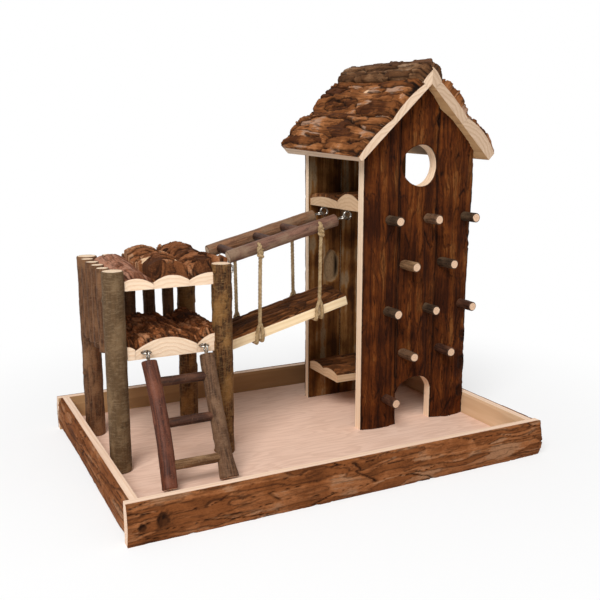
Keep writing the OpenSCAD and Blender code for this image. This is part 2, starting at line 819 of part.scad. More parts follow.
module bridge_board() {
    edge_z = axis_z(board_left_x) - rope_drop;
    color(bark_shelf) translate([board_left_x, board_front_y, edge_z]) rotate([0, -slope, 0])
        translate([0, 0, -board_edge_t]) slab_along_x(board_l, board_w, board_edge_t, board_crest_t);
}

module bridge_slings() {
    color(jute_tan) for (x = rope_places)
        sling(x);
}

module bridge_front_ropes() {
    color(jute_tan) for (x = rope_places)
        hanging_rope(x, bridge_front_y);
}

module bridge_back_ropes() {
    color(jute_tan) for (x = rope_places)
        hanging_rope(x, bridge_back_y);
}

floor_board();
front_rail();
back_rail();
left_rail();
right_rail();
front_wall_slab(tower_left_x, wall_side_w);  // front_wall_left_slab
front_wall_slab(wall_middle_x, wall_middle_w);  // front_wall_middle_slab
front_wall_slab(wall_right_x, wall_side_w);  // front_wall_right_slab
back_wall_slab(tower_left_x, wall_side_w);  // back_wall_left_slab
back_wall_slab(wall_middle_x, wall_middle_w);  // back_wall_middle_slab
back_wall_slab(wall_right_x, wall_side_w);  // back_wall_right_slab
upper_shelf_front_slab();
upper_shelf_back_slab();
lower_shelf_front_slab();
lower_shelf_back_slab();
roof_left_ridge_slab();
roof_left_middle_slab();
roof_left_eave_slab();
roof_right_ridge_slab();
roof_right_middle_slab();
roof_right_eave_slab();
climbing_pegs(0);  // climbing_pegs_row_1
climbing_pegs(1);  // climbing_pegs_row_2
climbing_pegs(2);  // climbing_pegs_row_3
climbing_pegs(3);  // climbing_pegs_row_4
climbing_pegs(4);  // climbing_pegs_row_5
post(0);  // post_front_left
post(1);  // post_front_right
post(2);  // post_back_left
post(3);  // post_back_right
fence_left_stick(0);  // fence_left_stick_1
fence_left_stick(1);  // fence_left_stick_2
fence_left_stick(2);  // fence_left_stick_3
fence_back_stick(0);  // fence_back_stick_1
fence_back_stick(1);  // fence_back_stick_2
fence_back_stick(2);  // fence_back_stick_3
deck_left_slab();
deck_middle_slab();
deck_right_slab();
house_roof_left_slab();
house_roof_middle_slab();
house_roof_right_slab();
ladder_left_rail();
ladder_right_rail();
ladder_rung(0);  // ladder_rung_1
ladder_rung(1);  // ladder_rung_2
ladder_rung(2);  // ladder_rung_3
ladder_eyes();
deck_eyes();
bridge_rail(bridge_front_y, 1);  // bridge_front_rail
bridge_rail(bridge_back_y, -1);  // bridge_back_rail
bridge_rung(bridge_rung_1_at);  // bridge_rung_1
bridge_rung(bridge_rung_2_at);  // bridge_rung_2
bridge_rung(bridge_rung_3_at);  // bridge_rung_3
bridge_rail_eyes();
bridge_carrier_eyes();
bridge_board();
bridge_slings();
bridge_front_ropes();
bridge_back_ropes();
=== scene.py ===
"""Looks of a bark-clad small animal playground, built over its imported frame.

Sizes in the classes are millimetres. Each mesh is made in its own plain frame; its place in the row and
the scale to metres go into its vertices last, so every object sits at the origin.
"""
import logging
import math
from dataclasses import dataclass, field
from enum import Enum, IntEnum
from typing import NamedTuple

import bmesh
import bpy
import numpy as np
from mathutils import Matrix, Vector


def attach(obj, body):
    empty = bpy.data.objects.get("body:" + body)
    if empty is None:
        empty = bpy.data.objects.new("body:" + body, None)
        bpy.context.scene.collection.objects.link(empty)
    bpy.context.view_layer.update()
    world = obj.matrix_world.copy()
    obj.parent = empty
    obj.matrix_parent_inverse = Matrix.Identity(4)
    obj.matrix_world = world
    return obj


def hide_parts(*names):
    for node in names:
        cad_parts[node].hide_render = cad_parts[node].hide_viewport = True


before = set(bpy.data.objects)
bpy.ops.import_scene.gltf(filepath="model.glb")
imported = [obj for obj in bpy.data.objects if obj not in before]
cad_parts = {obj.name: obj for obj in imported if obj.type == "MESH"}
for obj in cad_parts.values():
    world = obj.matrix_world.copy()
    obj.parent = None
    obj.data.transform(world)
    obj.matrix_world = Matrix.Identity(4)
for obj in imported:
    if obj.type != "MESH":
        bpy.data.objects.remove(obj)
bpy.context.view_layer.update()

LOG = logging.getLogger("playground")
MM = 0.001
X = Vector((1.0, 0.0, 0.0))
Y = Vector((0.0, 1.0, 0.0))
UP = Vector((0.0, 0.0, 1.0))
Array = np.ndarray
Socket = bpy.types.NodeSocket
Surface = tuple[Socket, Socket, Socket]  # colour, roughness and height


class Rgb(NamedTuple):
    """A colour as it looks on a screen, 0 to 255."""

    red: int
    green: int
    blue: int

    def linear(self) -> tuple[float, float, float, float]:
        """Returns: the colour as a shader takes it."""
        parts = [c / 255 for c in self]
        return (*[p / 12.92 if p < 0.04045 else ((p + 0.055) / 1.055) ** 2.4 for p in parts], 1.0)


BARE_WOOD = Rgb(226, 190, 152)
SPECKS = Rgb(150, 122, 104)
HOLLOW_TONE = 7.0
CHIPPED_TONE = 9.0  # far past the palest plate, so that the bark effect shows bare wood


def smooth_step(low: float, high: float, value: Array) -> Array:
    """Eases from 0 at low to 1 at high.

    Args: low, high: the ends of the ramp. value: where to read it.
    Returns: the eased values.
    """
    t = np.clip((value - low) / (high - low), 0.0, 1.0)
    return t * t * (3.0 - 2.0 * t)


class Lattice:
    """Seeded noise on a square lattice, read for whole arrays of points."""

    FACTORS = (374761393, 668265263, 1442695041, 1274126177)
    BITS = 0xFFFFFFFF
    KEPT_BITS = 0xFFFFFF
    FAR = 9.0

    @staticmethod
    def hashed(ix: Array, iy: Array, seed: int) -> Array:
        """Args: ix, iy: lattice corners. seed: the pattern. Returns: a number from 0 to 1 for each corner."""
        a, b, c, d = Lattice.FACTORS
        h = (ix.astype(np.int64) * a + iy.astype(np.int64) * b + seed * c) & Lattice.BITS
        h = ((h ^ (h >> 13)) * d) & Lattice.BITS
        return ((h ^ (h >> 16)) & Lattice.KEPT_BITS) / Lattice.KEPT_BITS

    @classmethod
    def smooth(cls, u: Array, v: Array, seed: int, wrap: int = 0) -> Array:
        """Args: u, v: points in lattice steps. seed: the pattern. wrap: steps after which v repeats, if any.

        Returns: value noise from 0 to 1.
        """
        iu, iv = np.floor(u), np.floor(v)
        fu, fv = smooth_step(0.0, 1.0, u - iu), smooth_step(0.0, 1.0, v - iv)
        low, high = (np.mod(iv, wrap), np.mod(iv + 1, wrap)) if wrap else (iv, iv + 1)
        near = cls.hashed(iu, low, seed) * (1 - fu) + cls.hashed(iu + 1, low, seed) * fu
        far = cls.hashed(iu, high, seed) * (1 - fu) + cls.hashed(iu + 1, high, seed) * fu
        return near * (1 - fv) + far * fv

    @classmethod
    def fractal(cls, u: Array, v: Array, seed: int, octaves: int = 3, wrap: int = 0) -> Array:
        """Args: as smooth(), with octaves: how many finer layers are added. Returns: noise from 0 to 1."""
        total, weight = np.zeros_like(u), 0.0
        for octave in range(octaves):
            finer, share = 2**octave, 0.5**octave
            total += cls.smooth(u * finer, v * finer, seed + 17 * octave, wrap * finer) * share
            weight += share
        return total / weight

    @classmethod
    def cells(cls, u: Array, v: Array, seed: int, wrap: int = 0) -> tuple[Array, Array]:
        """Splits the plane into cells.

        Args: as smooth().
        Returns: the distance to the border, and each cell's number.
        """
        iu, iv = np.floor(u), np.floor(v)
        near, second = np.full(u.shape, cls.FAR), np.full(u.shape, cls.FAR)
        number = np.zeros(u.shape)
        for a in (-1, 0, 1):
            for b in (-1, 0, 1):
                cu, cv = iu + a, iv + b
                key = np.mod(cv, wrap) if wrap else cv
                du = u - cu - 0.1 - 0.8 * cls.hashed(cu, key, seed)
                dv = v - cv - 0.1 - 0.8 * cls.hashed(cu, key, seed + 1)
                gap = np.hypot(du, dv)
                closer = gap < near
                second = np.where(closer, near, np.minimum(second, gap))
                number = np.where(closer, cls.hashed(cu, key, seed + 2), number)
                near = np.where(closer, gap, near)
        return second - near, number


class BarkFace(NamedTuple):
    """What a bark surface is like at each point."""

    height: Array
    # groove: how far toward the crack colour, from cracks, knots and painted shade
    groove: Array
    tone: Array


class Knot(NamedTuple):
    """An oval mark on a slab: a grown-over branch stub, a chip or a hollow."""

    u: float
    v: float
    size: float
    stretch: float = 1.4


@dataclass(frozen=True)
class BarkRelief:
    """How thick bark breaks into plates, cracks and flakes, in millimetres."""

    PROBE = 0.4
    LEAST_TILT = 0.04
    PLATE_LEVELS = 2.4
    FLAKE_LEVELS = 4.4
    FLAKE_SHADE = 0.6

    plate_l: float
    plate_w: float
    plate_rise: float
    layers: int
    flake_l: float
    flake_w: float
    flake_rise: float
    crack: float
    crack_share: float
    fibre: float
    wander: float
    swell: float
    # shade: how dark the painted shadow lines along the plate and flake steps are
    shade: float = 0.75
    riser: float = 1.2
    line: float = 0.95

    def _terraced(
        self, u: Array, v: Array, size: tuple[float, float], seed: int, count: float
    ) -> tuple[Array, Array, Array]:
        """Args: u, v: points along and across. size: a plate's length and width.
        seed: the pattern. count: how many levels.

        Returns: each point's level, its height in levels with steep edges, and how near it is to an edge.
        """
        here, ahead, aside = (
            count * (Lattice.fractal((u + a) / size[0], (v + b) / size[1], seed) - 0.5)
            for a, b in ((0.0, 0.0), (self.PROBE, 0.0), (0.0, self.PROBE))
        )
        tilt = np.maximum(np.hypot(ahead - here, aside - here) / self.PROBE, self.LEAST_TILT)
        level = np.floor(here)
        above, below = (here - level) / tilt, (level + 1 - here) / tilt
        near = 1 - smooth_step(0.2, self.line, np.minimum(above, below))
        return level, level + smooth_step(0.0, self.riser, above), near

    def shape(self, u: Array, v: Array, seed: int, knots: tuple[Knot, ...] = ()) -> BarkFace:
        """Args: u, v: points along and across. seed: the piece's own pattern. knots: stubs to raise.

        Returns: the bark's height over the mean surface, how far toward the crack colour (cracks, knots and
        painted shadow along plate steps), and each plate's tone.
        """
        bent_u = u + self.wander * (2 * Lattice.fractal(u / 27, v / 9, seed + 1) - 1)
        bent_v = v + 0.45 * self.wander * (2 * Lattice.fractal(u / 21, v / 8, seed + 2) - 1)
        plate = (self.plate_l, self.plate_w)
        levels = self.PLATE_LEVELS * self.layers
        step, rise, near = self._terraced(bent_u, bent_v, plate, seed + 3, levels)
        height = self.plate_rise * rise / self.layers
        # painted shadow: dark lines along each plate step's riser and foot, where the higher plate would
        # shade the lower one
        groove = self.shade * near
        border, number = Lattice.cells(1.5 * bent_u / self.plate_l, 1.1 * bent_v / self.plate_w, seed + 5)
        split = (1 - smooth_step(0.0, self.crack_share, border)) * smooth_step(
            0.36, 0.56, Lattice.fractal(u / 19, v / 11, seed + 6)
        )
        height -= self.crack * split
        groove = np.maximum(groove, split)
        small = (self.flake_l, self.flake_w)
        flake, rise, near = self._terraced(bent_u, bent_v, small, seed + 7, self.FLAKE_LEVELS)
        height += self.flake_rise * rise / 2
        # painted shadow lines along the flake steps as well
        groove = np.maximum(groove, self.FLAKE_SHADE * self.shade * near)
        height += self.fibre * (2 * Lattice.fractal(u / 9, v / 0.9, seed + 8) - 1)
        height += self.swell * (2 * Lattice.fractal(u / 60, v / 24, seed + 9, 2) - 1)
        tone = np.mod(number + 0.37 * step + 0.11 * flake, 1.0)
        for knot in knots:
            torn = Lattice.fractal(u / 3.5, v / 3.5, seed + 10)
            far = np.hypot((u - knot.u) / knot.stretch, v - knot.v) / knot.size * (0.6 + 0.8 * torn)
            height += knot.size * (0.24 * np.exp(-5 * (far - 1.05) ** 2) - 0.34 * np.exp(-4 * far**2))
            groove = np.maximum(groove, (1 - smooth_step(0.75, 1.2, far)) * (0.7 + np.abs(torn - 0.5)))
        return BarkFace(height, np.clip(groove, 0, 1), tone)


class Bark(Enum):
    """The kinds of bark on the slabs."""

    TRAY = BarkRelief(130, 10, 1.0, 2, 70, 5.5, 0.4, 1.4, 0.05, 0.2, 6, 0.5, 0.68, line=0.8)
    WALL = BarkRelief(120, 9, 1.2, 2, 40, 4.0, 0.5, 1.2, 0.07, 0.45, 5, 1.4, 0.68, line=0.85)
    ROOF = BarkRelief(95, 16, 3.0, 2, 42, 7.5, 1.1, 2.2, 0.1, 0.35, 8, 1.0, 0.9, line=1.0)
    RIDGE = BarkRelief(80, 9, 2.4, 2, 34, 5.0, 0.9, 2.0, 0.1, 0.35, 6, 1.0)
    SHELF = BarkRelief(60, 11, 1.4, 2, 26, 6.0, 0.55, 1.2, 0.08, 0.3, 6, 0.9)
    DECK = BarkRelief(30, 8, 2.6, 3, 12, 3.4, 0.9, 1.8, 0.1, 0.5, 9, 1.5, 0.7)
    THICK = BarkRelief(24, 36, 4.4, 2, 13, 15.0, 1.1, 2.2, 0.06, 0.25, 6, 1.8, 0.9)
    SMOOTH = BarkRelief(60, 14, 0.9, 2, 24, 6.0, 0.25, 0.6, 0.06, 0.12, 6, 0.8)


class Seed(IntEnum):
    """Where the pieces' own patterns start."""

    TRAY = 11
    FRONT_WALL = 31
    BACK_WALL = 41
    SHELVES = 51
    ROOF = 61
    POSTS = 71
    FENCE = 81
    HOUSE = 91
    LADDER_RAILS = 101
    LADDER_RUNGS = 105
    BRIDGE_RAILS = 111
    BRIDGE_RUNGS = 115
    BOARD = 121
    PEGS = 200


class Wiring:
    """Adds and links the nodes of one shader tree."""

    def __init__(self, tree: bpy.types.NodeTree) -> None:
        """Args: tree: the tree to work in."""
        self.tree = tree

    def node(self, kind: str, inputs: dict | None = None, **options: object) -> bpy.types.Node:
        """Args: kind: the node's type. inputs: values or sockets by input. options: its settings.

        Returns: the new node.
        """
        made = self.tree.nodes.new(kind)
        for name, value in options.items():
            setattr(made, name, value)
        for key, value in (inputs or {}).items():
            self.feed(made.inputs[key], value)
        return made

    def feed(self, target: Socket, value: object) -> None:
        """Args: target: an input. value: a socket to link to it, or its plain value."""
        if isinstance(value, bpy.types.NodeSocket):
            self.tree.links.new(value, target)
        else:
            target.default_value = value

    def sums(self, operation: str, a: object, b: object = 0.0) -> Socket:
        """Args: operation: a math node's name. a, b: its terms. Returns: the result."""
        return self.node("ShaderNodeMath", {0: a, 1: b}, operation=operation).outputs[0]

    def span(self, value: object, low: float, high: float, first: float = 0.0, last: float = 1.0) -> Socket:
        """Args: value: what is read. low, high: its range. first, last: what they become.

        Returns: the eased value.
        """
        inputs = {"Value": value, "From Min": low, "From Max": high, "To Min": first, "To Max": last}
        return self.node("ShaderNodeMapRange", inputs, interpolation_type="SMOOTHSTEP").outputs[0]

    def stretch(self, vector: Socket, x: float, y: float, z: float) -> Socket:
        """Args: vector: coordinates. x, y, z: their factors. Returns: the scaled coordinates."""
        return self.node("ShaderNodeVectorMath", {0: vector, 1: (x, y, z)}, operation="MULTIPLY").outputs[0]

    def noise(self, vector: Socket, scale: float, detail: float = 3.0, rough: float = 0.55) -> Socket:
        """Args: vector: coordinates. scale, detail, rough: the noise's settings. Returns: its value."""
        inputs = {"Vector": vector, "Scale": scale, "Detail": detail, "Roughness": rough}
        return self.node("ShaderNodeTexNoise", inputs).outputs[0]

    def mix(self, share: object, a: object, b: object, blend: str = "MIX") -> Socket:
        """Args: share: how much of b. a, b: colours. blend: the way they mix. Returns: the mixed colour."""
        inputs = {0: share, 6: a, 7: b}
        return self.node("ShaderNodeMix", inputs, data_type="RGBA", blend_type=blend).outputs[2]

    def read(self, name: str) -> bpy.types.Node:
        """Args: name: a mesh attribute. Returns: the node that reads it."""
        return self.node("ShaderNodeAttribute", attribute_name=name)


class Group:
    """A shared effect, kept as a node group."""

    def __init__(self, name: str, numbers: tuple[str, ...], colours: tuple[str, ...]) -> None:
        """Args: name: the group's name. numbers, colours: inputs beside the grain coordinates."""
        self.tree = bpy.data.node_groups.new(name, "ShaderNodeTree")
        ways = self.tree.interface
        ways.new_socket("Grain", in_out="INPUT", socket_type="NodeSocketVector")
        for label in numbers:
            ways.new_socket(label, in_out="INPUT", socket_type="NodeSocketFloat")
        for label in colours:
            ways.new_socket(label, in_out="INPUT", socket_type="NodeSocketColor")
        ways.new_socket("Color", in_out="OUTPUT", socket_type="NodeSocketColor")
        ways.new_socket("Roughness", in_out="OUTPUT", socket_type="NodeSocketFloat")
        ways.new_socket("Height", in_out="OUTPUT", socket_type="NodeSocketFloat")
        self.wires = Wiring(self.tree)
        self.given = self.tree.nodes.new("NodeGroupInput").outputs
        self.results = self.tree.nodes.new("NodeGroupOutput").inputs

    def deliver(self, colour: Socket, roughness: Socket, height: Socket) -> None:
        """Args: colour, roughness, height: what the group puts out."""
        for label, value in (("Color", colour), ("Roughness", roughness), ("Height", height)):
            self.wires.feed(self.results[label], value)


class Effects:
    """The shader node groups that the finishes share."""

    def __init__(self) -> None:
        """Builds every group once."""
        self.bark = self._bark()
        self.wood = self._wood()
        self.branch = self._branch()

    def _bark(self) -> bpy.types.NodeTree:
        """Returns: bark in plates or long streaks of different tone, with fibres, specks, and dark cracks
        mixed with painted shade from the groove field.
        """
        names = ("Crack And Shade", "Low", "Middle", "High", "Flake")
        group = Group("bark layers", ("Groove", "Tone", "Streaks"), names)
        w, given = group.wires, group.given
        grain = given["Grain"]
        fibres = w.noise(w.stretch(grain, 0.9, 0.9, 0.05), 1.0, 4.0)
        blotch = w.noise(grain, 0.035)
        fine = w.noise(w.stretch(grain, 1.0, 1.0, 0.35), 1.3, 5.0)
        drift = w.sums("MULTIPLY", w.sums("SUBTRACT", blotch, 0.5), 1.6)
        plates = w.sums("ADD", w.sums("MULTIPLY", given["Tone"], 0.75), drift)
        plates = w.sums("SUBTRACT", w.sums("ADD", plates, w.sums("MULTIPLY", fibres, 0.7)), 0.28)
        streaks = w.span(w.noise(w.stretch(grain, 0.15, 0.15, 0.006), 1.0, 5.0, 0.58), 0.26, 0.78)
        streaks = w.sums("ADD", streaks, drift)
        change = w.sums("MULTIPLY", given["Streaks"], w.sums("SUBTRACT", streaks, plates))
        tone = w.sums("ADD", plates, change)
        colour = w.mix(w.span(tone, 0.05, 0.4), given["Low"], given["Middle"])
        colour = w.mix(w.span(tone, 0.4, 0.7), colour, given["High"])
        colour = w.mix(w.span(tone, 0.68, 0.86), colour, given["Flake"])
        colour = w.mix(w.span(tone, 2.0, 3.0), colour, BARE_WOOD.linear())
        specks = w.sums("MULTIPLY", w.span(fine, 0.46, 0.72), 0.5)
        colour = w.mix(specks, colour, SPECKS.linear(), "MULTIPLY")
        # the crack colour paints real cracks and also painted shade: step lines, faded ends and the hollow's
        # crescent
        colour = w.mix(given["Groove"], colour, given["Crack And Shade"])
        height = w.sums("ADD", w.sums("MULTIPLY", fibres, 0.6), fine)
        group.deliver(colour, w.span(fine, 0.3, 0.8, 0.97, 0.8), height)
        return group.tree

    def _wood(self) -> bpy.types.NodeTree:
        """Returns: sawn wood with year rings, fibres, stains and a rim of bark near the outside."""
        group = Group("sawn wood", ("Depth", "Ring Pitch"), ("Pale", "Ring", "Fibre", "Rim"))
        w, given = group.wires, group.given
        grain = given["Grain"]
        wobble = w.noise(w.stretch(grain, 0.06, 0.06, 0.006), 1.0)
        flat = w.node("ShaderNodeVectorMath", {0: w.stretch(grain, 1.0, 1.0, 0.0)}, operation="LENGTH")
        reach = w.sums("ADD", flat.outputs["Value"], w.sums("MULTIPLY", wobble, 7.0))
        turn = w.sums("FRACT", w.sums("DIVIDE", reach, given["Ring Pitch"]))
        line = w.sums("MULTIPLY", w.span(turn, 0.35, 0.88), w.span(turn, 0.88, 1.0, 1.0, 0.0))
        fibres = w.noise(w.stretch(grain, 2.0, 2.0, 0.03), 1.0, 4.0)
        stain = w.noise(w.stretch(grain, 0.05, 0.05, 0.02), 1.0)
        colour = w.mix(w.sums("MULTIPLY", line, 0.55), given["Pale"], given["Ring"])
        colour = w.mix(w.span(fibres, 0.48, 0.8, 0.0, 0.6), colour, given["Fibre"])
        colour = w.mix(w.span(stain, 0.48, 0.75, 0.0, 0.5), colour, given["Fibre"])
        ragged = w.sums("MULTIPLY", w.noise(w.stretch(grain, 0.35, 0.35, 0.2), 1.0), 0.9)
        within = w.sums("SUBTRACT", w.sums("ADD", given["Depth"], ragged), 0.45)
        colour = w.mix(w.span(within, -0.2, 0.25, 1.0, 0.0), colour, given["Rim"])
        height = w.sums("ADD", fibres, w.sums("MULTIPLY", line, 0.4))
        group.deliver(colour, w.span(fibres, 0.3, 0.75, 0.62, 0.85), height)
        return group.tree

    def _branch(self) -> bpy.types.NodeTree:
        """Returns: thin bark of a stick, with patches, long fibres and short marks across it."""
        group = Group("branch bark", ("Groove", "Tone", "Rings"), ("Dark", "Base", "Patch", "Mark"))
        w, given = group.wires, group.given
        grain = given["Grain"]
        fibres = w.noise(w.stretch(grain, 0.8, 0.8, 0.07), 1.0, 4.0)
        patch = w.noise(w.stretch(grain, 0.09, 0.09, 0.05), 1.0, 4.0)
        marks = w.span(w.noise(w.stretch(grain, 0.42, 0.42, 1.9), 1.0, 2.0), 0.62, 0.7)
        fine = w.noise(grain, 1.1, 5.0)
        colour = w.mix(w.span(fibres, 0.3, 0.66), given["Dark"], given["Base"])
        colour = w.mix(w.span(patch, 0.46, 0.66), colour, given["Patch"])
        colour = w.mix(w.span(given["Tone"], 0.5, 1.0, 0.0, 0.4), colour, given["Patch"])
        rings = w.span(w.noise(w.stretch(grain, 0.17, 0.17, 0.62), 1.0, 4.0, 0.62), 0.46, 0.64)
        colour = w.mix(w.sums("MULTIPLY", rings, given["Rings"]), colour, given["Mark"])
        colour = w.mix(w.sums("MULTIPLY", marks, 0.6), colour, given["Mark"])
        colour = w.mix(w.span(fine, 0.5, 0.78, 0.0, 0.6), colour, given["Dark"])
        colour = w.mix(w.sums("MULTIPLY", given["Groove"], 0.85), colour, given["Dark"])
        height = w.sums("ADD", fine, w.sums("SUBTRACT", fibres, marks))
        group.deliver(colour, w.span(fine, 0.3, 0.75, 0.58, 0.85), height)
        return group.tree


@dataclass(frozen=True)
class Finish:
    """A surface finish. Its subclasses say how it is wired."""

    COAT_ROUGHNESS = 0.42

    name: str
    relief_depth: float = field(default=0.25, kw_only=True)
    specular: float = field(default=0.3, kw_only=True)
    metallic: float = field(default=0.0, kw_only=True)
    coat: float = field(default=0.0, kw_only=True)

    def surface(self, wires: Wiring, effects: Effects) -> Surface:
        """Args: wires: the material's tree. effects: the shared groups. Returns: the wired surface."""
        raise NotImplementedError

    def material(self, effects: Effects) -> bpy.types.Material:
        """Args: effects: the shared groups. Returns: the finished material."""
        made = bpy.data.materials.new(self.name)
        made.use_nodes = True
        wires = Wiring(made.node_tree)
        shader = made.node_tree.nodes["Principled BSDF"]
        colour, roughness, height = self.surface(wires, effects)
        bump = wires.node("ShaderNodeBump", {"Height": height, "Distance": self.relief_depth * MM})
        for label, value in (("Base Color", colour), ("Roughness", roughness), ("Normal", bump.outputs[0])):
            wires.feed(shader.inputs[label], value)
        shader.inputs["Specular IOR Level"].default_value = self.specular
        shader.inputs["Metallic"].default_value = self.metallic
        shader.inputs["Coat Weight"].default_value = self.coat
        shader.inputs["Coat Roughness"].default_value = self.COAT_ROUGHNESS
        return made

    @staticmethod
    def grouped(wires: Wiring, tree: bpy.types.NodeTree, numbers: dict, colours: dict) -> Surface:
        """Args: wires: the material's tree. tree: a shared group. numbers, colours: its inputs.

        Returns: the group's colour, roughness and height.
        """
        made = wires.node("ShaderNodeGroup", node_tree=tree)
        wires.feed(made.inputs["Grain"], wires.read("grain").outputs["Vector"])
        for label, value in numbers.items():
            wires.feed(made.inputs[label], value)
        for label, value in colours.items():
            wires.feed(made.inputs[label], value.linear())
        return made.outputs["Color"], made.outputs["Roughness"], made.outputs["Height"]


@dataclass(frozen=True)
class BarkFinish(Finish):
    """Thick bark on a slab."""

    # crack: the colour of cracks; it also paints the shade at plate steps, faded ends and the hollow's rim
    crack: Rgb
    low: Rgb
    middle: Rgb
    high: Rgb
    flake: Rgb
    streaks: float = 0.0
    specular: float = field(default=0.1, kw_only=True)

    def surface(self, wires: Wiring, effects: Effects) -> Surface:
        """Args: wires: the material's tree. effects: the shared groups. Returns: the wired surface."""
        fields = {label: wires.read(label.lower()).outputs["Fac"] for label in ("Groove", "Tone")}
        numbers = {**fields, "Streaks": self.streaks}
        colours = {
            "Crack And Shade": self.crack, "Low": self.low, "Middle": self.middle, "High": self.high,
            "Flake": self.flake,
        }
        return self.grouped(wires, effects.bark, numbers, colours)


@dataclass(frozen=True)
class WoodFinish(Finish):
    """Sawn wood, with the bark's rim where the saw came out."""

    pale: Rgb
    ring: Rgb
    fibre: Rgb
    rim: Rgb
    pitch: float = 3.2

    def surface(self, wires: Wiring, effects: Effects) -> Surface:
        """Args: wires: the material's tree. effects: the shared groups. Returns: the wired surface."""
        numbers = {"Depth": wires.read("depth").outputs["Fac"], "Ring Pitch": self.pitch}
        colours = {"Pale": self.pale, "Ring": self.ring, "Fibre": self.fibre, "Rim": self.rim}
        return self.grouped(wires, effects.wood, numbers, colours)


@dataclass(frozen=True)
class BranchFinish(Finish):
    """Thin bark left on a stick."""

    dark: Rgb
    base: Rgb
    patch: Rgb
    mark: Rgb
    rings: float = 0.0
    specular: float = field(default=0.15, kw_only=True)

    def surface(self, wires: Wiring, effects: Effects) -> Surface:
        """Args: wires: the material's tree. effects: the shared groups. Returns: the wired surface."""
        fields = {label: wires.read(label.lower()).outputs["Fac"] for label in ("Groove", "Tone")}
        numbers = {**fields, "Rings": self.rings}
        colours = {"Dark": self.dark, "Base": self.base, "Patch": self.patch, "Mark": self.mark}
        return self.grouped(wires, effects.branch, numbers, colours)


@dataclass(frozen=True)
class PlyFinish(Finish):
    """Sanded plywood with its fibres along the tray."""

    pale: Rgb
    figure: Rgb
    pore: Rgb

    def surface(self, wires: Wiring, effects: Effects) -> Surface:
        """Args: wires: the material's tree. effects: the shared groups. Returns: the wired surface."""
        grain = wires.read("grain").outputs["Vector"]
        drift = wires.noise(wires.stretch(grain, 0.03, 0.03, 0.005), 1.0)
        turn = wires.sums("FRACT", wires.sums("MULTIPLY", drift, 16.0))
        line = wires.sums("MULTIPLY", wires.span(turn, 0.2, 0.85), wires.span(turn, 0.85, 1.0, 1.0, 0.0))
        fibres = wires.noise(wires.stretch(grain, 0.9, 0.9, 0.014), 1.0, 4.0)
        pores = wires.noise(wires.stretch(grain, 1.5, 1.5, 0.07), 1.0, 2.0)
        colour = wires.mix(wires.sums("MULTIPLY", line, 0.6), self.pale.linear(), self.figure.linear())
        colour = wires.mix(wires.span(fibres, 0.45, 0.8, 0.0, 0.75), colour, self.figure.linear())
        colour = wires.mix(wires.span(pores, 0.6, 0.75, 0.0, 0.5), colour, self.pore.linear())
        return colour, wires.span(fibres, 0.3, 0.7, 0.5, 0.7), wires.sums("SUBTRACT", fibres, pores)


@dataclass(frozen=True)
class JuteFinish(Finish):
    """Twisted plant fibre."""

    pale: Rgb
    tan: Rgb
    dark: Rgb

    def surface(self, wires: Wiring, effects: Effects) -> Surface:
        """Args: wires: the material's tree. effects: the shared groups. Returns: the wired surface."""
        place = wires.node("ShaderNodeTexCoord").outputs["Object"]
        soft = wires.noise(place, 260.0)
        hairs = wires.noise(wires.stretch(place, 1.0, 1.0, 0.35), 2600.0, 4.0)
        colour = wires.mix(wires.span(soft, 0.35, 0.65), self.tan.linear(), self.pale.linear())
        colour = wires.mix(wires.span(hairs, 0.45, 0.75, 0.0, 0.7), colour, self.dark.linear())
        return colour, wires.span(hairs, 0.3, 0.7, 0.8, 0.98), hairs


@dataclass(frozen=True)
class MetalFinish(Finish):
    """Plated wire with faint rubbing."""

    clean: Rgb
    dull: Rgb

    def surface(self, wires: Wiring, effects: Effects) -> Surface:
        """Args: wires: the material's tree. effects: the shared groups. Returns: the wired surface."""
        place = wires.node("ShaderNodeTexCoord").outputs["Object"]
        worn = wires.noise(place, 420.0, 4.0)
        colour = wires.mix(wires.span(worn, 0.4, 0.7), self.clean.linear(), self.dull.linear())
        return colour, wires.span(worn, 0.3, 0.75, 0.14, 0.36), worn


WALL_BARK = BarkFinish(
    "tower wall bark", Rgb(26, 9, 3), Rgb(52, 21, 5), Rgb(84, 40, 12), Rgb(104, 54, 19), Rgb(118, 71, 33),
    streaks=0.8,
)
INNER_BARK = BarkFinish(
    "brown inner wall", Rgb(18, 9, 3), Rgb(60, 32, 11), Rgb(98, 60, 26), Rgb(134, 92, 50), Rgb(142, 116, 86),
    streaks=0.8,
)
ROOF_BARK = BarkFinish(
    "roof bark", Rgb(18, 8, 3), Rgb(76, 40, 17), Rgb(124, 74, 38), Rgb(166, 108, 64), Rgb(172, 136, 112)
)
RIDGE_BARK = BarkFinish(
    "ridge bark", Rgb(22, 12, 6), Rgb(62, 38, 22), Rgb(98, 65, 40), Rgb(132, 96, 66), Rgb(154, 124, 98),
    streaks=0.3,
)
SHELF_BARK = BarkFinish(
    "shelf bark", Rgb(24, 12, 5), Rgb(60, 33, 14), Rgb(94, 55, 26), Rgb(128, 78, 43), Rgb(150, 104, 66),
    streaks=0.3,
)
DECK_BARK = BarkFinish(
    "deck bark", Rgb(28, 13, 5), Rgb(78, 43, 19), Rgb(124, 72, 37), Rgb(160, 98, 58), Rgb(180, 126, 88)
)
HOUSE_BARK = BarkFinish(
    "house roof bark", Rgb(22, 10, 5), Rgb(72, 40, 20), Rgb(122, 73, 41), Rgb(154, 99, 62), Rgb(178, 133, 99)
)
FLAKE_BARK = BarkFinish(
    "smooth reddish bark",
    Rgb(54, 28, 18), Rgb(116, 70, 48), Rgb(144, 92, 66), Rgb(162, 110, 84), Rgb(176, 128, 104),
)
TRAY_BARK = BarkFinish(
    "tray bark", Rgb(32, 14, 5), Rgb(100, 56, 26), Rgb(124, 72, 37), Rgb(148, 93, 55), Rgb(156, 112, 80),
    streaks=0.25,
)
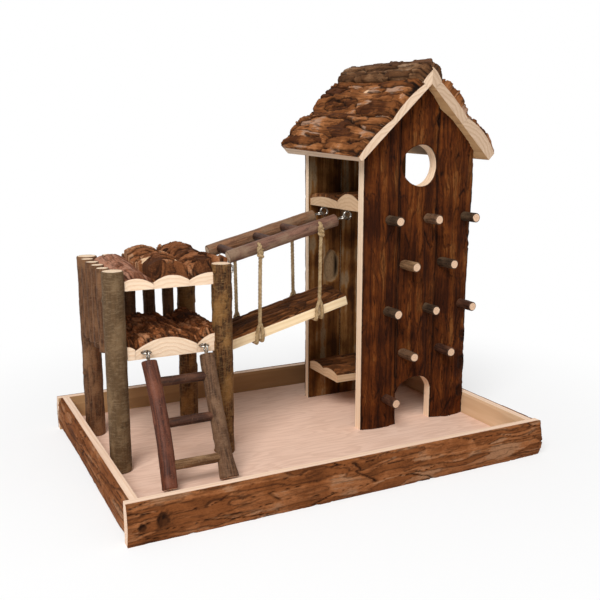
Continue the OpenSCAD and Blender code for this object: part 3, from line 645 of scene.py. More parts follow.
CREAM = WoodFinish(
    "cream sawn wood", Rgb(246, 219, 190), Rgb(228, 188, 150), Rgb(234, 202, 170), Rgb(74, 40, 18)
)
TRAY_WOOD = WoodFinish(
    "pinkish sawn wood", Rgb(244, 214, 188), Rgb(224, 182, 150), Rgb(228, 190, 160), Rgb(110, 64, 34),
    pitch=4.0,
)
ROOF_WOOD = WoodFinish(
    "roof sawn wood", Rgb(226, 198, 170), Rgb(202, 166, 134), Rgb(210, 178, 148), Rgb(66, 36, 18)
)
# A darker sawn wood for the right roof slabs' ends.
GABLE_WOOD = WoodFinish(
    "darker right roof wood", Rgb(198, 170, 143), Rgb(172, 138, 108), Rgb(180, 148, 120), Rgb(66, 36, 18)
)
# Sawn wood darkened as painted shade, for the shelves' ends and the right rail's inner face.
SHELF_WOOD = WoodFinish(
    "tan sawn wood in painted shade", Rgb(212, 178, 142), Rgb(186, 146, 108), Rgb(196, 158, 120), Rgb(66, 36, 18)
)
BOARD_WOOD = WoodFinish(
    "yellowish sawn wood", Rgb(252, 228, 188), Rgb(234, 200, 148), Rgb(240, 212, 168), Rgb(84, 46, 20)
)
# Sawn wood darkened as painted shade, for the back rail's inner face and the roof slabs' undersides.
SHADED_WOOD = WoodFinish(
    "sawn face in painted shade", Rgb(172, 134, 92), Rgb(142, 104, 66), Rgb(150, 112, 74), Rgb(88, 54, 28), pitch=4.0
)
CUT_END = WoodFinish(
    "cut stick end", Rgb(240, 214, 184), Rgb(216, 176, 138), Rgb(224, 190, 154), Rgb(64, 42, 28), pitch=1.7
)
PEG_END = WoodFinish(
    "peg tip", Rgb(224, 190, 160), Rgb(188, 146, 112), Rgb(200, 160, 128), Rgb(52, 36, 24), pitch=1.4
)
GREY_POST = BranchFinish(
    "grey brown bark", Rgb(80, 60, 39), Rgb(94, 71, 47), Rgb(116, 92, 65), Rgb(134, 112, 85), rings=0.4
)
BROWN_POST = BranchFinish(
    "rough brown bark", Rgb(44, 26, 12), Rgb(104, 68, 36), Rgb(132, 93, 50), Rgb(150, 117, 76), rings=0.3
)
FENCE_BARK = BranchFinish(
    "fence stick bark", Rgb(56, 34, 21), Rgb(106, 71, 46), Rgb(122, 86, 58), Rgb(134, 103, 76), rings=0.2
)
RED_BARK = BranchFinish(
    "red ladder bark", Rgb(52, 24, 14), Rgb(98, 53, 35), Rgb(114, 66, 46), Rgb(140, 92, 70), coat=0.2
)
GREY_BARK = BranchFinish(
    "grey ladder bark", Rgb(56, 37, 24), Rgb(106, 76, 54), Rgb(120, 91, 68), Rgb(142, 114, 90), rings=0.2
)
RUNG_BARK = BranchFinish(
    "rung bark", Rgb(36, 20, 13), Rgb(72, 42, 28), Rgb(92, 58, 40), Rgb(120, 86, 62), coat=0.12
)
TAN_BARK = BranchFinish(
    "tan rung bark", Rgb(84, 58, 37), Rgb(134, 100, 69), Rgb(150, 118, 86), Rgb(166, 138, 106)
)
MAUVE_BARK = BranchFinish(
    "mauve bridge bark", Rgb(78, 50, 38), Rgb(126, 88, 70), Rgb(132, 106, 84), Rgb(154, 120, 98),
    coat=0.12, specular=0.3,
)
AMBER_BARK = BranchFinish(
    "amber bridge bark", Rgb(84, 52, 32), Rgb(142, 98, 66), Rgb(130, 102, 76), Rgb(162, 126, 94),
    coat=0.12, specular=0.3,
)
PEG_BARK = BranchFinish("peg bark", Rgb(32, 22, 14), Rgb(66, 48, 34), Rgb(88, 68, 50), Rgb(108, 88, 68))
PLYWOOD = PlyFinish(
    "tray plywood", Rgb(234, 200, 179), Rgb(216, 178, 155), Rgb(190, 149, 124),
    relief_depth=0.05, specular=0.15,
)
JUTE = JuteFinish("jute", Rgb(190, 164, 126), Rgb(160, 132, 94), Rgb(104, 80, 52), specular=0.1)
NICKEL = MetalFinish(
    "nickel wire", Rgb(170, 165, 158), Rgb(104, 98, 90), metallic=1.0, specular=0.5, relief_depth=0.02
)


class Hole(NamedTuple):
    """A round way through a slab. An open one also takes all between it and the slab's start."""

    u: float
    v: float
    radius: float
    opened: bool = False


class Cut(NamedTuple):
    """A straight cut: what lies on the normal's side of the point is taken off."""

    point: tuple[float, float, float]
    normal: tuple[float, float, float]


class Shaped(NamedTuple):
    """A mesh that carries its wood and bark fields, with the finishes that read them."""

    mesh: bpy.types.Mesh
    finishes: tuple[Finish, ...]


def axes(origin: tuple[float, float, float], along: Vector, across: Vector) -> Matrix:
    """Args: origin: a slab's first corner. along, across: its directions. Returns: its frame in the row."""
    up = along.cross(across)
    return Matrix.Translation(origin) @ Matrix((along, across, up)).transposed().to_4x4()


def as_mesh(bm: bmesh.types.BMesh, name: str) -> bpy.types.Mesh:
    """Args: bm: what is built; it is freed here. name: the mesh's name. Returns: it as a mesh."""
    mesh = bpy.data.meshes.new(name)
    bm.to_mesh(mesh)
    bm.free()
    return mesh


def points(mesh: bpy.types.Mesh) -> Array:
    """Args: mesh: any mesh. Returns: its vertices' places, one row each for x, y and z."""
    co = np.empty(len(mesh.vertices) * 3, np.float32)
    mesh.vertices.foreach_get("co", co)
    return co.reshape(-1, 3).astype(float).T


def move_points(mesh: bpy.types.Mesh, x: Array, y: Array, z: Array) -> None:
    """Args: mesh: any mesh. x, y, z: its vertices' new places."""
    mesh.vertices.foreach_set("co", np.stack([x, y, z], axis=1).astype(np.float32).ravel())


def write_fields(mesh: bpy.types.Mesh, grain: Array, numbers: dict[str, Array]) -> None:
    """Args: mesh: gets the fields. grain: wood coordinates at each vertex. numbers: other fields by name."""
    rows = mesh.attributes.new("grain", "FLOAT_VECTOR", "POINT").data
    rows.foreach_set("vector", grain.astype(np.float32).ravel())
    for name, values in numbers.items():
        mesh.attributes.new(name, "FLOAT", "POINT").data.foreach_set("value", values.astype(np.float32))


@dataclass
class Slab:
    """A board with bark above, sawn flat below: u runs along it, v across and w up from the sawn face."""

    THINNEST = 0.35
    BARK = 1.0
    JOINT = 1.3
    INNER_JOINT = 0.8
    INNER_SEAM = 0.85
    HOLLOW_DEPTH = 3.4
    GRAIN_SHIFT = 37.0

    name: str
    length: float
    width: float
    edge: float
    crest: float
    place: Matrix
    relief: Bark
    seed: int
    bark: Finish
    wood: Finish = CREAM
    inner: Finish | None = None
    under: Finish | None = None
    core: tuple[float, float] | None = None
    holes: tuple[Hole, ...] = ()
    cuts: tuple[Cut, ...] = ()
    trim: Cut | None = None
    knots: tuple[Knot, ...] = ()
    chips: tuple[Knot, ...] = ()
    hollow: Knot | None = None
    taper: float = 0.0
    flare: float = 0.0
    fade: float = 0.0
    seam: float = 0.0
    pith: float = 30.0
    step: float = 0.8
    lap: float = 0.12

    def shaped(self) -> Shaped:
        """Returns: the slab as a closed mesh in row metres."""
        bm = bmesh.new()
        self._outline(bm)
        top, rim, below = self._doubled(bm) if self.inner else self._filled(bm)
        for verts, lifted in ((top, self._height), (rim, self._wood), (below, self._inner_height)):
            u, v = (np.array([vert.co[i] for vert in verts]) for i in (0, 1))
            for vert, height in zip(verts, lifted(u, v)):
                vert.co.z = height
        if self.trim:
            open_edges = [e for e in self._sliced(bm, self.trim) if isinstance(e, bmesh.types.BMEdge)]
            bmesh.ops.holes_fill(bm, edges=open_edges)
        bmesh.ops.recalc_face_normals(bm, faces=bm.faces)
        return self._finished(bm)

    @staticmethod
    def _sliced(bm: bmesh.types.BMesh, cut: Cut) -> list:
        """Args: bm: the slab. cut: what is taken off. Returns: the new vertices and edges along the cut."""
        geom = bm.verts[:] + bm.edges[:] + bm.faces[:]
        made = bmesh.ops.bisect_plane(
            bm, geom=geom, plane_co=cut.point, plane_no=cut.normal, clear_outer=True
        )
        return made["geom_cut"]

    @staticmethod
    def _filled(bm: bmesh.types.BMesh) -> tuple[list, list, list]:
        """Closes the plan with sides and one flat face.

        Args: bm: the plan.
        Returns: its upper vertices, those under the bark all round, and its lower vertices.
        """
        edges = [e for e in bm.edges if e.is_boundary]
        rings = []
        for _ in ("wood", "sawn face"):
            made = bmesh.ops.extrude_edge_only(bm, edges=edges)["geom"]
            edges = [e for e in made if isinstance(e, bmesh.types.BMEdge)]
            rings.append({v for v in made if isinstance(v, bmesh.types.BMVert)})
        bmesh.ops.triangle_fill(bm, edges=edges, normal=(0, 0, -1))
        middle, below = rings
        return [v for v in bm.verts if v not in below and v not in middle], list(middle), list(below)

    @staticmethod
    def _doubled(bm: bmesh.types.BMesh) -> tuple[list, list, list]:
        """Closes the plan with sides and a second grid.

        Args: bm: the plan.
        Returns: its upper vertices, none between, and its lower vertices.
        """
        bmesh.ops.solidify(bm, geom=bm.faces[:], thickness=1.0)
        levels = [v.co.z for v in bm.verts]
        half = (min(levels) + max(levels)) / 2
        return [v for v in bm.verts if v.co.z > half], [], [v for v in bm.verts if v.co.z <= half]

    def _outline(self, bm: bmesh.types.BMesh) -> None:
        """Args: bm: gets the slab's plan as a fine grid, cut to its outline and holes."""
        along, across = (max(4, round(size / self.step)) for size in (self.length, self.width))
        spread = Matrix.Diagonal((self.length, self.width + 2 * self.lap, 1.0, 1.0))
        middle = Matrix.Translation((self.length / 2, self.width / 2, 0.0))
        place = middle @ spread
        bmesh.ops.create_grid(bm, x_segments=along, y_segments=across, size=0.5, matrix=place)
        for cut in self.cuts:
            self._sliced(bm, cut)
        for hole in self.holes:
            self._pierce(bm, hole)

    def _pierce(self, bm: bmesh.types.BMesh, hole: Hole) -> None:
        """Args: bm: the plan. hole: the way to open in it, with its rim brought onto the circle."""
        centre = Vector((hole.u, hole.v, 0.0))
        gone = [f for f in bm.faces if self._inside(f.calc_center_median(), hole)]
        bmesh.ops.delete(bm, geom=gone, context="FACES")
        for vert in (v for v in bm.verts if v.is_boundary):
            arm = vert.co - centre
            on_side = min(vert.co.y, self.width - vert.co.y) < 0.0
            on_end = min(vert.co.x, self.length - vert.co.x) < 0.01
            if abs(arm.length - hole.radius) < 1.5 * self.step and not (on_side or on_end):
                vert.co = centre + arm * (hole.radius / arm.length)

    @staticmethod
    def _inside(point: Vector, hole: Hole) -> bool:
        """Args: point: a face's middle. hole: a way through. Returns: whether the hole takes it."""
        below = hole.opened and point.x < hole.u and abs(point.y - hole.v) < hole.radius
        return below or math.hypot(point.x - hole.u, point.y - hole.v) < hole.radius

    def _section(self, u: Array, v: Array, edge: float, crest: float) -> Array:
        """Args: u, v: points of the plan. edge, crest: thickness. Returns: the round section's height."""
        side = 2 * v / self.width - 1
        return edge + (crest - edge) * (1 - side**2) + self.taper * (u / self.length - 0.5)

    def _height(self, u: Array, v: Array) -> Array:
        """Args: u, v: points of the plan. Returns: the bark's height above the sawn face."""
        height = self._section(u, v, self.edge, self.crest) + self._bark(u, v).height
        wood = self._wood(u, v)
        return np.maximum(wood + (height - wood) * self._kept(u, v), wood + self.THINNEST)

    def _wood(self, u: Array, v: Array) -> Array:
        """Args: u, v: points of the plan. Returns: the height of the wood under the bark."""
        return self._section(u, v, *self._core())

    def _bark(self, u: Array, v: Array) -> BarkFace:
        """Args: u, v: points of the plan.

        Returns: the bark there, darker at joints, with painted shade where it thins to an end, and bare where
        it is chipped.
        """
        bark = self.relief.value.shape(u, v, self.seed, self.knots)
        joint = self.seam * self._by_side(v, self.JOINT)
        # painted shade: the bark darkens toward the crack colour where it thins to a faded end
        groove = np.clip(bark.groove + 0.4 * (1 - self._kept(u, v)) + joint, 0, 1)
        tone = bark.tone
        for chip in self.chips:
            torn = 0.5 + Lattice.fractal(u / 3, v / 3, self.seed + 95)
            bare = np.hypot((u - chip.u) / chip.stretch, v - chip.v) * torn < chip.size
            groove, tone = np.where(bare, 0.0, groove), np.where(bare, CHIPPED_TONE, tone)
        return bark._replace(groove=groove, tone=tone)

    def _by_side(self, v: Array, reach: float) -> Array:
        """Args: v: points across. reach: how far a joint's shade goes. Returns: 1 at a long side, 0 away."""
        return np.exp(-((np.minimum(v, self.width - v) / reach) ** 2))

    def _core(self) -> tuple[float, float]:
        """Returns: the wood's own thickness at the edges and at the crest."""
        return self.core or (self.edge - self.BARK, self.crest - self.BARK)

    def _kept(self, u: Array, v: Array) -> Array:
        """Args: u, v: points of the plan. Returns: the share of the bark's thickness left by a faded end."""
        if not self.fade:
            return np.ones_like(u)
        reach = abs(self.fade)
        ragged = 0.8 * reach * (Lattice.fractal(v / 6, u / 9, self.seed + 90) - 0.5)
        left = self.length - u if self.fade > 0 else u
        return smooth_step(-0.25 * reach, reach, left + ragged)

    def _inner_face(self, u: Array, v: Array) -> BarkFace:
        """Args: u, v: points of the plan. Returns: the long streaks, joints and hollow of the inner face,
        with a painted shadow crescent on the hollow's right side.
        """
        height = 0.7 * Lattice.fractal(u / 70, v / 3.2, self.seed + 70)
        groove = self.INNER_SEAM * self._by_side(v, self.INNER_JOINT)
        tone = Lattice.fractal(u / 60, v / 4, self.seed + 71)
        if self.hollow:
            off = (v - self.hollow.v) / self.hollow.size
            far = np.hypot((u - self.hollow.u) / (self.hollow.size * self.hollow.stretch), off)
            inside = 1 - smooth_step(0.82, 1.02, far)
            height = height + self.HOLLOW_DEPTH * inside
            tone = tone + HOLLOW_TONE * inside
            # painted shadow: a dark crescent on the hollow's right side, where its rim would shade it
            groove = np.maximum(groove * (1 - inside), inside * smooth_step(0.3, 0.75, off))
        return BarkFace(height, groove, tone)

    def _inner_height(self, u: Array, v: Array) -> Array:
        """Args: u, v: points of the plan. Returns: how far the lower face is hollowed there."""
        return self._inner_face(u, v).height if self.inner else np.zeros_like(u)

    def _finished(self, bm: bmesh.types.BMesh) -> Shaped:
        """Args: bm: the closed slab in its own frame. Returns: its mesh in the row, with its finishes."""
        for face in bm.faces:
            upward = face.normal.z
            middle = face.calc_center_median()
            barked = upward > 0.05 or (
                upward > -0.3 and not self.inner and middle.z > self._wood(middle.x, middle.y)
            )
            face.material_index = 0 if barked else 1
            if (self.inner and upward < -0.15) or (self.under and upward < -0.5):
                face.material_index = 2
            face.smooth = face.material_index != 1
        mesh = as_mesh(bm, self.name)
        u, v, w = points(mesh)
        bark = self._bark(u, v)
        groove, tone = bark.groove, bark.tone
        if self.inner:
            face = self._inner_face(u, v)
            low = w < face.height + 0.05
            groove, tone = np.where(low, face.groove, groove), np.where(low, face.tone, tone)
        apart = self.GRAIN_SHIFT * (self.seed % 23)
        grain = np.stack([v - self.width / 2, w + self.pith, u + apart], axis=1)
        depth = self._wood(u, v) - w
        groove = np.where(np.abs(depth) < 0.01, 0.25 * groove, groove)
        write_fields(mesh, grain, {"groove": groove, "tone": tone, "depth": depth})
        ripple = 0.3 * (Lattice.fractal(u / 14, u * 0, self.seed + 80) - 0.5)
        lean = smooth_step(0.3, 1.0, u / self.length) + ripple
        move_points(mesh, u, v - self.flare * lean * (1 - v / self.width) ** 2, w)
        mesh.transform(Matrix.Scale(MM, 4) @ self.place)
        third = self.inner or self.under
        return Shaped(mesh, (self.bark, self.wood) + ((third,) if third else ()))


@dataclass
class Branch:
    """A stick cut from a branch, from one point to another."""

    GRAIN_SHIFT = 53.0
    BARK = 0.8

    name: str
    start: Vector
    end: Vector
    diameter: float
    seed: int
    bark: Finish
    cut: Finish = CUT_END
    rough: float = 0.4
    flaking: float = 0.0
    flare: float = 0.0
    bow: Vector = field(default_factory=lambda: Vector((0.0, 0.0, 0.0)))
    knots: tuple[tuple[float, float, float], ...] = ()
    step: float = 0.7

    def shaped(self) -> Shaped:
        """Returns: the stick as a closed mesh in row metres."""
        length, radius = (self.end - self.start).length, self.diameter / 2
        bm = bmesh.new()
        rows = [bm.verts.new(p) for p in ((0, 0, 0), (radius, 0, 0), (radius, 0, length), (0, 0, length))]
        cap, side, tip = [bm.edges.new(rows[i : i + 2]) for i in range(3)]
        bmesh.ops.subdivide_edges(bm, edges=[cap, tip], cuts=max(2, round(radius / 1.2)))
        bmesh.ops.subdivide_edges(bm, edges=[side], cuts=max(8, round(length / self.step)))
        turns = max(16, round(math.tau * radius / self.step))
        geom = bm.verts[:] + bm.edges[:]
        bmesh.ops.spin(
            bm, geom=geom, axis=UP, cent=(0, 0, 0), steps=turns, angle=math.tau, use_merge=True
        )
        bmesh.ops.remove_doubles(bm, verts=bm.verts, dist=0.001)
        bmesh.ops.recalc_face_normals(bm, faces=bm.faces)
        for face in bm.faces:
            face.material_index = int(abs(face.normal.z) > 0.7)
            face.smooth = face.material_index == 0
        mesh = as_mesh(bm, self.name)
        self._weather(mesh, length, radius)
        lie = (self.end - self.start).to_track_quat("Z", "Y").to_matrix().to_4x4()
        mesh.transform(Matrix.Scale(MM, 4) @ Matrix.Translation(self.start) @ lie)
        return Shaped(mesh, (self.bark, self.cut))

    def _weather(self, mesh: bpy.types.Mesh, length: float, radius: float) -> None:
        """Gives the stick its lumps, knots, flakes and bend.

        Args: mesh: the smooth stick. length, radius: its size.
        """
        x, y, z = points(mesh)
        share = np.arctan2(y, x) / math.tau + 0.5
        turns = max(3, round(math.tau * radius / 5))
        lump = self.rough * (2 * Lattice.fractal(z / 16, share * turns, self.seed, 3, turns) - 1)
        border, number = Lattice.cells(z / 11, share * turns, self.seed + 40, turns)
        flakes = smooth_step(0.45, 0.6, Lattice.fractal(z / 26, share * turns, self.seed + 50, 2, turns))
        crack = (1 - smooth_step(0.0, 0.14, border)) * flakes * min(1.0, self.flaking)
        lump += self.flaking * flakes * (number - 0.45) - 0.8 * self.flaking * crack
        fine = Lattice.fractal(z / 1.6, share * turns * 3, self.seed + 60, 2, turns * 3)
        lump += 0.16 * self.rough * (2 * fine - 1)
        groove = crack.copy()
        for at, around, size in self.knots:
            off = np.abs(share - around)
            far = np.hypot(z - at, math.tau * radius * np.minimum(off, 1 - off)) / size
            lump += 0.45 * size * np.exp(-1.6 * far**2)
            groove = np.maximum(groove, np.exp(-4 * (far - 1) ** 2) * 0.7)
        lump += self.flare * smooth_step(0.8, 1.0, z / length)
        rim = np.clip(1 - np.minimum(z, length - z) / 0.8, 0, 1) ** 2
        outer = radius + lump
        reach = np.hypot(x, y)
        grown = np.where(reach > 1e-6, (outer - 0.45 * rim * (reach / radius) ** 4) / radius, 1.0)
        local_bow = (self.end - self.start).to_track_quat("Z", "Y").inverted() @ self.bow
        arch = 4 * (z / length) * (1 - z / length)
        move_points(mesh, x * grown + local_bow.x * arch, y * grown + local_bow.y * arch, z)
        apart = self.GRAIN_SHIFT * (self.seed % 19)
        grain = np.stack([x * grown + 0.12 * radius, y * grown, z + apart], axis=1)
        depth = outer - reach * grown - self.BARK
        write_fields(mesh, grain, {"groove": groove, "tone": number * flakes, "depth": depth})


@dataclass
class Eye:
    """A screw eye: a wire ring in its own XZ plane, with its threaded shank down -Z."""

    RIDGE = 0.9
    NECK = 1.2
    TIP = 1.0

    ring: float = 3.6
    wire: float = 1.6
    reach: float = 12.0
    gap: float = 0.05

    def build(self, bm: bmesh.types.BMesh, place: Matrix) -> None:
        """Args: bm: gets the eye. place: the ring's middle and turn in the row, in millimetres."""
        own = bmesh.new()
        thick = self.wire / 2
        bmesh.ops.create_circle(own, radius=thick, segments=12, matrix=Matrix.Translation((self.ring, 0, 0)))
        turn = Matrix.Rotation(math.radians(90 + 180 * self.gap), 4, "Y")
        bmesh.ops.transform(own, matrix=turn, verts=own.verts)
        bmesh.ops.spin(
            own, geom=own.verts[:] + own.edges[:], axis=(0, 1, 0), cent=(0, 0, 0), steps=44,
            angle=math.tau * (1 - self.gap),
        )
        bmesh.ops.holes_fill(own, edges=[e for e in own.edges if e.is_boundary])
        self._shank(own, thick)
        bmesh.ops.recalc_face_normals(own, faces=own.faces)
        bmesh.ops.transform(own, matrix=place, verts=own.verts)
        for face in own.faces:
            face.smooth = True
        part = as_mesh(own, "eye")
        bm.from_mesh(part)
        bpy.data.meshes.remove(part)

    def _shank(self, bm: bmesh.types.BMesh, thick: float) -> None:
        """Adds the neck and a ridged point below the ring.

        Args: bm: the eye. thick: half the wire.
        """
        start = -self.ring
        outline = [(0.0, start), (thick, start), (thick, start - self.NECK)]
        ridges = int((self.reach - self.ring - self.NECK - self.TIP) / self.RIDGE)
        for i in range(ridges):
            low = start - self.NECK - 0.2 - self.RIDGE * i
            outline += [(thick * 1.12, low), (thick * 0.82, low - self.RIDGE / 2)]
        outline.append((0.0, -self.reach))
        verts = [bm.verts.new((x, 0.0, z)) for x, z in outline]
        edges = [bm.edges.new(pair) for pair in zip(verts, verts[1:])]
        bmesh.ops.spin(
            bm, geom=verts + edges, axis=UP, cent=(0, 0, 0), steps=14, angle=math.tau, use_merge=True
        )
        bmesh.ops.remove_doubles(bm, verts=bm.verts, dist=0.0005)


@dataclass
class Twine:
    """A three-strand jute rope, laid along a path."""

    diameter: float
    lay: float = 9.0
    spread: float = 0.235
    strand: float = 0.26
    step: float = 0.55

    def strands(self, path: list[Vector], phase: float = 0.0) -> list[Array]:
        """Args: path: the rope's middle line. phase: the first strand's turn. Returns: the strands' lines."""
        line = self.even(path)
        along = np.gradient(line, axis=0)
        along /= np.linalg.norm(along, axis=1)[:, None]
        side = np.cross(along[0], (0.31, 0.87, 0.38))
        sides = []
        for direction in along:
            side = side - direction * side.dot(direction)
            side /= np.linalg.norm(side)
            sides.append(side)
        sides = np.array(sides)
        other = np.cross(along, sides)
        turn = math.tau * self.step * np.arange(len(line)) / self.lay + phase
        out = self.diameter * self.spread
        lines = []
        for number in range(3):
            angle = (turn + number * math.tau / 3)[:, None]
            lines.append(line + out * (np.cos(angle) * sides + np.sin(angle) * other))
        return lines

    def even(self, path: list[Vector]) -> Array:
        """Args: path: corner points. Returns: points a step apart along a smooth line through them."""
        points = np.array(path, float)
        for _ in range(3):
            soft = np.repeat(points, 2, axis=0)[1:-1]
            soft[0::2] = 0.75 * points[:-1] + 0.25 * points[1:]
            soft[1::2] = 0.25 * points[:-1] + 0.75 * points[1:]
            points = np.vstack([points[:1], soft, points[-1:]])
        gaps = np.linalg.norm(np.diff(points, axis=0), axis=1)
        far = np.concatenate([[0.0], np.cumsum(gaps)])
        wanted = np.arange(0.0, far[-1], self.step)
        return np.stack([np.interp(wanted, far, points[:, i]) for i in range(3)], axis=1)

    def mesh(self, name: str, paths: list[list[Vector]]) -> bpy.types.Mesh:
        """Args: name: the mesh's name. paths: the ropes' lines. Returns: all strands as one mesh."""
        curve = bpy.data.curves.new(name, "CURVE")
        curve.dimensions = "3D"
        curve.bevel_depth = self.diameter * self.strand * MM
        curve.bevel_resolution = 2
        curve.use_fill_caps = True
        for number, path in enumerate(paths):
            for strand in self.strands(path, 0.7 * number):
                spline = curve.splines.new("POLY")
                spline.points.add(len(strand) - 1)
                spline.points.foreach_set("co", np.c_[strand * MM, np.ones(len(strand))].ravel())
        holder = bpy.data.objects.new(name, curve)
        made = bpy.data.meshes.new_from_object(holder)
        made.name = name
        bpy.data.objects.remove(holder)
        bpy.data.curves.remove(curve)
        made.polygons.foreach_set("use_smooth", [True] * len(made.polygons))
        return made


class Bench:
    """Where finished meshes become pieces that ride on the frame's bodies."""

    def __init__(self) -> None:
        """Makes the shared effects; materials are made as they are first used."""
        self.effects = Effects()
        self.made: dict[Finish, bpy.types.Material] = {}

    def material(self, finish: Finish) -> bpy.types.Material:
        """Args: finish: what is wanted. Returns: its material, made once."""
        if finish not in self.made:
            self.made[finish] = finish.material(self.effects)
        return self.made[finish]

    def piece(self, node: str, shaped: Shaped, body: str) -> bpy.types.Object:
        """Args: node: the CAD node that the piece stands for. shaped: its mesh and finishes.
        body: what it rides on.

        Returns: the piece, in place.
        """
        name = f"{node}_finished"
        for finish in shaped.finishes:
            shaped.mesh.materials.append(self.material(finish))
        made = bpy.data.objects.new(name, shaped.mesh)
        bpy.context.scene.collection.objects.link(made)
        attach(made, body)
        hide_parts(node)
        LOG.info("%s: %d faces on %s", name, len(shaped.mesh.polygons), body)
        return made

    def eyes(self, node: str, places: list[Matrix], body: str) -> None:
        """Args: node: the CAD node. places: where its eyes sit, in millimetres. body: what they ride on."""
        bm = bmesh.new()
        for place in places:
            Eye().build(bm, place)
        mesh = as_mesh(bm, node)
        mesh.transform(Matrix.Scale(MM, 4))
        self.piece(node, Shaped(mesh, (NICKEL,)), body)

    @staticmethod
    def joined(shapes: list[Shaped]) -> Shaped:
        """Args: shapes: meshes with the same fields. Returns: them as one mesh, with all their finishes."""
        finishes = list(dict.fromkeys(finish for shape in shapes for finish in shape.finishes))
        bm = bmesh.new()
        for shape in shapes:
            for polygon in shape.mesh.polygons:
                polygon.material_index = finishes.index(shape.finishes[polygon.material_index])
            bm.from_mesh(shape.mesh)
        return Shaped(as_mesh(bm, shapes[0].mesh.name), tuple(finishes))


@dataclass
class Tray:
    """The floor board with its four bark-faced rails."""

    length: float = 360.0
    half_floor: float = 170.0
    half_width: float = 120.0
    rail_height: float = 30.5
    rail_edge: float = 7.0
    rail_crest: float = 10.0
    rail_pith: float = 60.0
    front_stubs: tuple[Knot, ...] = (Knot(23.5, 17.0, 6.4, 0.75), Knot(9.6, 13.5, 3.4, 0.8))
    back_stubs: tuple[Knot, ...] = (Knot(120.0, 15.0, 3.5),)
    board: float = 10.0
    rounding: float = 0.5

    def build(self, bench: Bench) -> None:
        """Args: bench: makes the pieces."""
        self._floor(bench)
        half, wide = self.length / 2, 2 * self.half_width
        ways = {
            "front_rail": (axes((-half, -self.half_width, 0), X, UP), self.length, self.front_stubs),
            "back_rail": (axes((half, self.half_width, 0), -X, UP), self.length, self.back_stubs),
            "left_rail": (axes((-self.half_floor, self.half_width, 0), -Y, UP), wide, ()),
            "right_rail": (axes((self.half_floor, -self.half_width, 0), Y, UP), wide, ()),
        }
        # sawn inner faces with painted shade on the back and right rails
        shaded_inner_faces = {"back_rail": SHADED_WOOD, "right_rail": SHELF_WOOD}
        for number, (node, (place, length, knots)) in enumerate(ways.items()):
            slab = Slab(
                node, length, self.rail_height, self.rail_edge, self.rail_crest, place, Bark.TRAY,
                Seed.TRAY + number, TRAY_BARK, TRAY_WOOD, under=shaded_inner_faces.get(node), knots=knots,
                pith=self.rail_pith,
            )
            bench.piece(node, slab.shaped(), "stand")

    def _floor(self, bench: Bench) -> None:
        """Args: bench: makes the piece."""
        bm = bmesh.new()
        size = Matrix.Diagonal((2 * self.half_floor, 2 * self.half_width, self.board, 1.0))
        bmesh.ops.create_cube(bm, size=1.0, matrix=Matrix.Translation((0, 0, self.board / 2)) @ size)
        bmesh.ops.bevel(
            bm, geom=bm.edges[:], offset=self.rounding, segments=2, profile=0.5, affect="EDGES", material=-1
        )
        mesh = as_mesh(bm, "floor_board")
        x, y, z = points(mesh)
        write_fields(mesh, np.stack([y, z, x], axis=1), {})
        mesh.transform(Matrix.Scale(MM, 4))
        bench.piece("floor_board", Shaped(mesh, (PLYWOOD,)), "stand")


class Shelf(NamedTuple):
    """One half-round slab of a shelf."""

    node: str
    z: float
    near: float
    far: float
    crest: float
    core: tuple[float, float]


class Thickness(NamedTuple):
    """A slab's thickness at its edges and crest, and that of the wood under its bark."""

    edge: float
    crest: float
    core: tuple[float, float]


